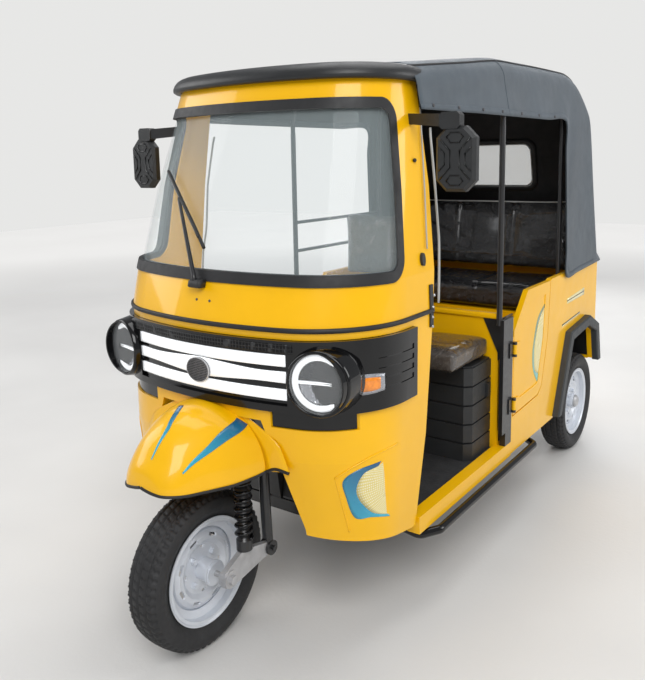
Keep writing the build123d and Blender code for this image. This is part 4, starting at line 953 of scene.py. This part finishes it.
def make_marks():
    """The swooshes and dotted panels on the leg shields and the doors, the lines pressed beside
    the former, and the stripes behind the doors."""
    # s and z along the outer and inner edge of the cowl's swoosh, then the panel's far edge
    outer = [(578, 610), (500, 598), (451, 567), (454, 516), (475, 445), (528, 437), (596, 420)]
    inner = [(567, 597), (515, 582), (488, 537), (495, 497), (525, 457), (550, 442), (589, 429)]
    right = [(583, 604), (584, 574), (584, 544), (583, 515), (583, 488), (583, 457), (583, 432)]
    for side, tag in SIDES:
        for name, other, proud, thick, look in (("swoosh", outer, 0.9, 2.0, "swoosh"),
                                                ("dots", right, 0.7, 1.8, "dotted")):
            add_shell_patch(f"cowl_{name}_{tag}", inner, other, proud, thick, look,
                            side)
        for n, line in enumerate((((428, 578), (490, 611), (559, 635), (649, 645)),
                                  ((428, 578), (437, 516), (446, 457), (454, 400)))):
            s, z = smooth_path(line, 8).T
            add_tube(f"cowl_crease_{n}_{tag}", metres(shell(side * s, z, 0.3)), 0.0028,
                     "yellow paint")
    # y and z along the outer edge of the door's swoosh, its inner edge, and the panel's far edge
    edge = [(1636, 858), (1542, 800), (1496, 701), (1488, 645), (1501, 583), (1560, 508)]
    band = [(1640, 846), (1560, 790), (1514, 701), (1506, 645), (1524, 575), (1606, 540)]
    far = [(1652, 850), (1648, 805), (1640, 730), (1630, 668), (1618, 600), (1606, 542)]
    for side, tag in SIDES:
        door = tag + "_door"
        add_flat_patch("door_swoosh_" + tag, edge, band, side, 0.9, "green swoosh", door)
        add_flat_patch("door_dots_" + tag, band, far, side, 0.6, "dotted", door)
        # columns: low edge and high edge of each stripe behind the door, proud, look
        for n, (low, high, proud, look) in enumerate((
                ([(1925, 799), (2190, 803)], [(1925, 823), (2190, 838)], 3.6, "pale stripe"),
                ([(1925, 810), (2190, 818)], [(1925, 814), (2190, 823)], 3.9, "black paint"),
                ([(1862, 699), (2130, 715)], [(1862, 706), (2130, 722)], 3.6, "pale stripe"),
                ([(1862, 706), (2130, 722)], [(1862, 711), (2130, 727)], 3.9, "black paint"))):
            add_flat_patch(f"quarter_stripe_{n}_{tag}", low, high, side, proud, look, "body")


# Guard

# columns: y, half width, z of the rims, z of the crown
GUARD_ROWS = np.array([(-209, 3, 585, 588), (-208, 22, 580, 595), (-205, 50, 575, 607),
                       (-197, 74, 571, 634), (-175, 100, 568, 665),
                       (-145, 117, 564, 705), (-110, 132, 562, 735), (-60, 156, 561, 758),
                       (-10, 180, 562, 768), (50, 208, 572, 770), (78, 221, 580, 769)], float)


def guard(v, a, out=0.0):
    """Points on the guard over the front wheel: half ellipses from rim to rim, angle a from the
    left rim, whose widths and heights run smoothly along v from 0 at the nose to 1."""
    rows = smooth_path(GUARD_ROWS, 12)
    at = np.asarray(v, float) * (len(rows) - 1)
    y, half, low, high = (np.interp(at, np.arange(len(rows)), rows[:, k]) for k in range(4))
    return np.stack([(half + out) * np.cos(a), y + 0 * a - out * 0.3,
                     low + (high - low + out) * np.sin(a)], -1)


def make_guard():
    """The guard as one smooth beak with rolled rims, a wing with a hem at each rear corner, and
    its two tapering stripes."""
    v, a = np.meshgrid(np.linspace(0, 1, 60), np.linspace(0, np.pi, 61), indexing="ij")
    piece = add_slab("front_guard", metres(guard(v, a)), metres(guard(v, a, -3.5)),
                     "yellow paint")
    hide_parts("front_mudguard")
    v = np.linspace(0, 1, 50)
    for tag, end in (("left", 0.0), ("right", math.pi)):
        add_tube("guard_rim_" + tag, metres(guard(v, np.full(50, end), -1.0)), 0.0048, "rubber")
    # x, y and z along each wing's outer edge, then where it meets the guard's rear rim
    wing = [(112, 79, 748), (150, 79, 733), (195, 80, 712), (236, 81, 690), (268, 82, 664),
            (288, 83, 625), (300, 84, 592)]
    root = [(109, 76, 742), (141, 76, 723), (168, 76, 700), (190, 76, 673), (207, 76, 644),
            (218, 76, 606), (221, 76, 581)]
    for side, tag in SIDES:
        grid = between(root, wing, 5) * (side, 1, 1)
        add_slab("guard_wing_" + tag, metres(grid), metres(grid + (0, 3.5, 0)), "yellow paint")
        hem = smooth_path([(219, 77, 579), (255, 79, 594), (300, 84, 589)], 8) * (side, 1, 1)
        add_tube("guard_hem_" + tag, metres(hem), 0.0048, "rubber")
    # columns: v and angle in degrees along one edge, then the other
    marks = (("first", [(0.93, 54), (0.80, 46), (0.67, 37), (0.50, 28)],
              [(0.99, 45), (0.83, 38), (0.69, 32), (0.50, 26)]),
             ("second", [(0.79, 101), (0.65, 90), (0.57, 84), (0.39, 82)],
              [(0.79, 95), (0.65, 84), (0.57, 79), (0.39, 80)]))
    for name, low, high in marks:
        v, a = np.moveaxis(between(low, high, 10), -1, 0)
        add_slab("guard_stripe_" + name, metres(guard(v, np.radians(a), 1.2)),
                 metres(guard(v, np.radians(a), -1.2)), "swoosh", mapped=True)


# Running gear

def make_springs():
    """Coil springs round the front dampers, and a domed cap on each rear wheel's hub."""
    for side, tag in SIDES:
        t = np.linspace(0, 1, 280)
        turn = 2 * np.pi * 9.0 * t
        path = np.stack([side * 122 + 24.5 * np.cos(turn), 78 + 24.5 * np.sin(turn),
                         342 + 236 * t], -1)
        add_tube("coil_spring_" + tag, metres(path), 0.0052, "black gloss",
                 body="fork")
    for side, tag in SIDES:
        hub = (side * (TRACK / 2 + 0.044), AXLE_Y + WHEELBASE, TYRE_R)
        add_disc("hub_cap_rear_" + tag, hub, (side, 0, 0), 0.031, 0.012, "cast alloy",
                 "rear_wheel_" + tag, dome=0.006)


# Seats

PUFF_FRAMES = 20
FILL_GAP = 0.0005


def stuffed(name, node, centre, half, tilt, swell, look, seams=()):
    """A stuffed cover: a rounded box, remeshed, blown up by a cloth simulation without gravity,
    each point's travel capped, then stretched along each axis to fill its space, and smoothed
    once. tilt turns it about X in degrees."""
    base = bmesh.new()
    bmesh.ops.create_cube(base, size=1.0)
    size = np.array(half, float) * 2
    bmesh.ops.scale(base, vec=Vector(size - 2 * swell * 0.8), verts=base.verts)
    bmesh.ops.bevel(base, geom=list(base.edges), offset=float(min(size) * 0.22), segments=4,
                    profile=0.6, affect="EDGES")
    data = bpy.data.meshes.new(name)
    base.to_mesh(data)
    base.free()
    piece = bpy.data.objects.new(name, data)
    bpy.context.scene.collection.objects.link(piece)
    bpy.context.view_layer.objects.active = piece
    remesh = piece.modifiers.new("even", "REMESH")
    remesh.mode = "VOXEL"
    remesh.voxel_size = 0.0095 if max(half) > 0.3 else 0.006
    bpy.ops.object.modifier_apply(modifier="even")
    count = len(data.vertices)
    start = np.empty(count * 3)
    data.vertices.foreach_get("co", start)
    start = start.reshape(-1, 3)
    cloth = piece.modifiers.new("cover", "CLOTH")
    cloth.settings.use_pressure = True
    cloth.settings.uniform_pressure_force = 4.0
    cloth.settings.effector_weights.gravity = 0.0
    cloth.settings.quality = 5
    cloth.settings.mass = 0.3
    cloth.point_cache.frame_start = 1
    cloth.point_cache.frame_end = PUFF_FRAMES
    scene = bpy.context.scene
    for step in range(1, PUFF_FRAMES + 1):
        scene.frame_set(step)
    shaped = piece.evaluated_get(bpy.context.evaluated_depsgraph_get()).to_mesh()
    moved = np.empty(count * 3)
    shaped.vertices.foreach_get("co", moved)
    moved = moved.reshape(-1, 3) - start
    reach = np.linalg.norm(moved, axis=1)[:, None]
    start = start + moved * np.minimum(1, swell / np.maximum(reach, 1e-9))
    piece.modifiers.clear()
    scene.frame_set(1)
    start = start * (np.array(half) - FILL_GAP) / np.abs(start).max(axis=0)
    for axis, places, wide, deep in seams:
        for at in places:
            d = np.exp(-((start[:, axis] - at) / wide) ** 2)[:, None]
            start = start * (1 - d * deep / np.array(half))
    turn = math.radians(tilt)
    spin = np.array([[1, 0, 0], [0, math.cos(turn), -math.sin(turn)],
                     [0, math.sin(turn), math.cos(turn)]])
    final = start @ spin.T + metres(centre)
    data.vertices.foreach_set("co", final.ravel())
    data.polygons.foreach_set("use_smooth", np.ones(len(data.polygons), bool))
    data.materials.append(LOOKS[look])
    data.update()
    finer = piece.modifiers.new("finer", "SUBSURF")
    finer.levels = finer.render_levels = 1
    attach(piece, "body")
    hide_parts(node)
    return piece


def make_seats():
    """The driver's cushion and backrest and the passengers' bench, with their seams, and the
    piping laid where the bench's backrest reaches furthest up and forward."""
    stuffed("driver_seat_cover", "driver_cushion", (0, 1005, 754.5), (0.452, 0.159, 0.0455), 0,
            0.010, "brown film", ((0, (0.0,), 0.006, 0.004),))
    stuffed("driver_back_cover", "driver_backrest", (0, 1069, 1141), (0.135, 0.029, 0.121), 0,
            0.008, "brown film")
    stuffed("bench_seat_cover", "bench_cushion", (0, 1905, 848), (0.452, 0.225, 0.0625), 0, 0.014,
            "black film", ((0, (-0.15, 0.15), 0.007, 0.006),))
    back = stuffed("bench_back_cover", "bench_backrest", (0, 2175, 1090), (0.455, 0.045, 0.172), -8,
                   0.012, "black film", ((0, (-0.15, 0.15), 0.007, 0.005),))
    points = np.array([tuple(v.co) for v in back.data.vertices])
    x = np.linspace(-0.425, 0.425, 40)
    top = []
    for at in x:
        near = points[np.abs(points[:, 0] - at) < 0.012]
        top.append(near[np.argmax(near @ (0, -0.45, 0.9))])
    y, z = (np.polyval(np.polyfit(x, np.array(top)[:, k], 4), x) for k in (1, 2))
    add_tube("bench_back_piping", np.stack([x, y, z], -1), 0.0038, "pale rubber")


dress_nodes()
make_camera()
make_studio()
make_tyres()
make_canopy()
make_lamps()
make_cab_trim()
make_marks()
make_guard()
make_springs()
make_seats()
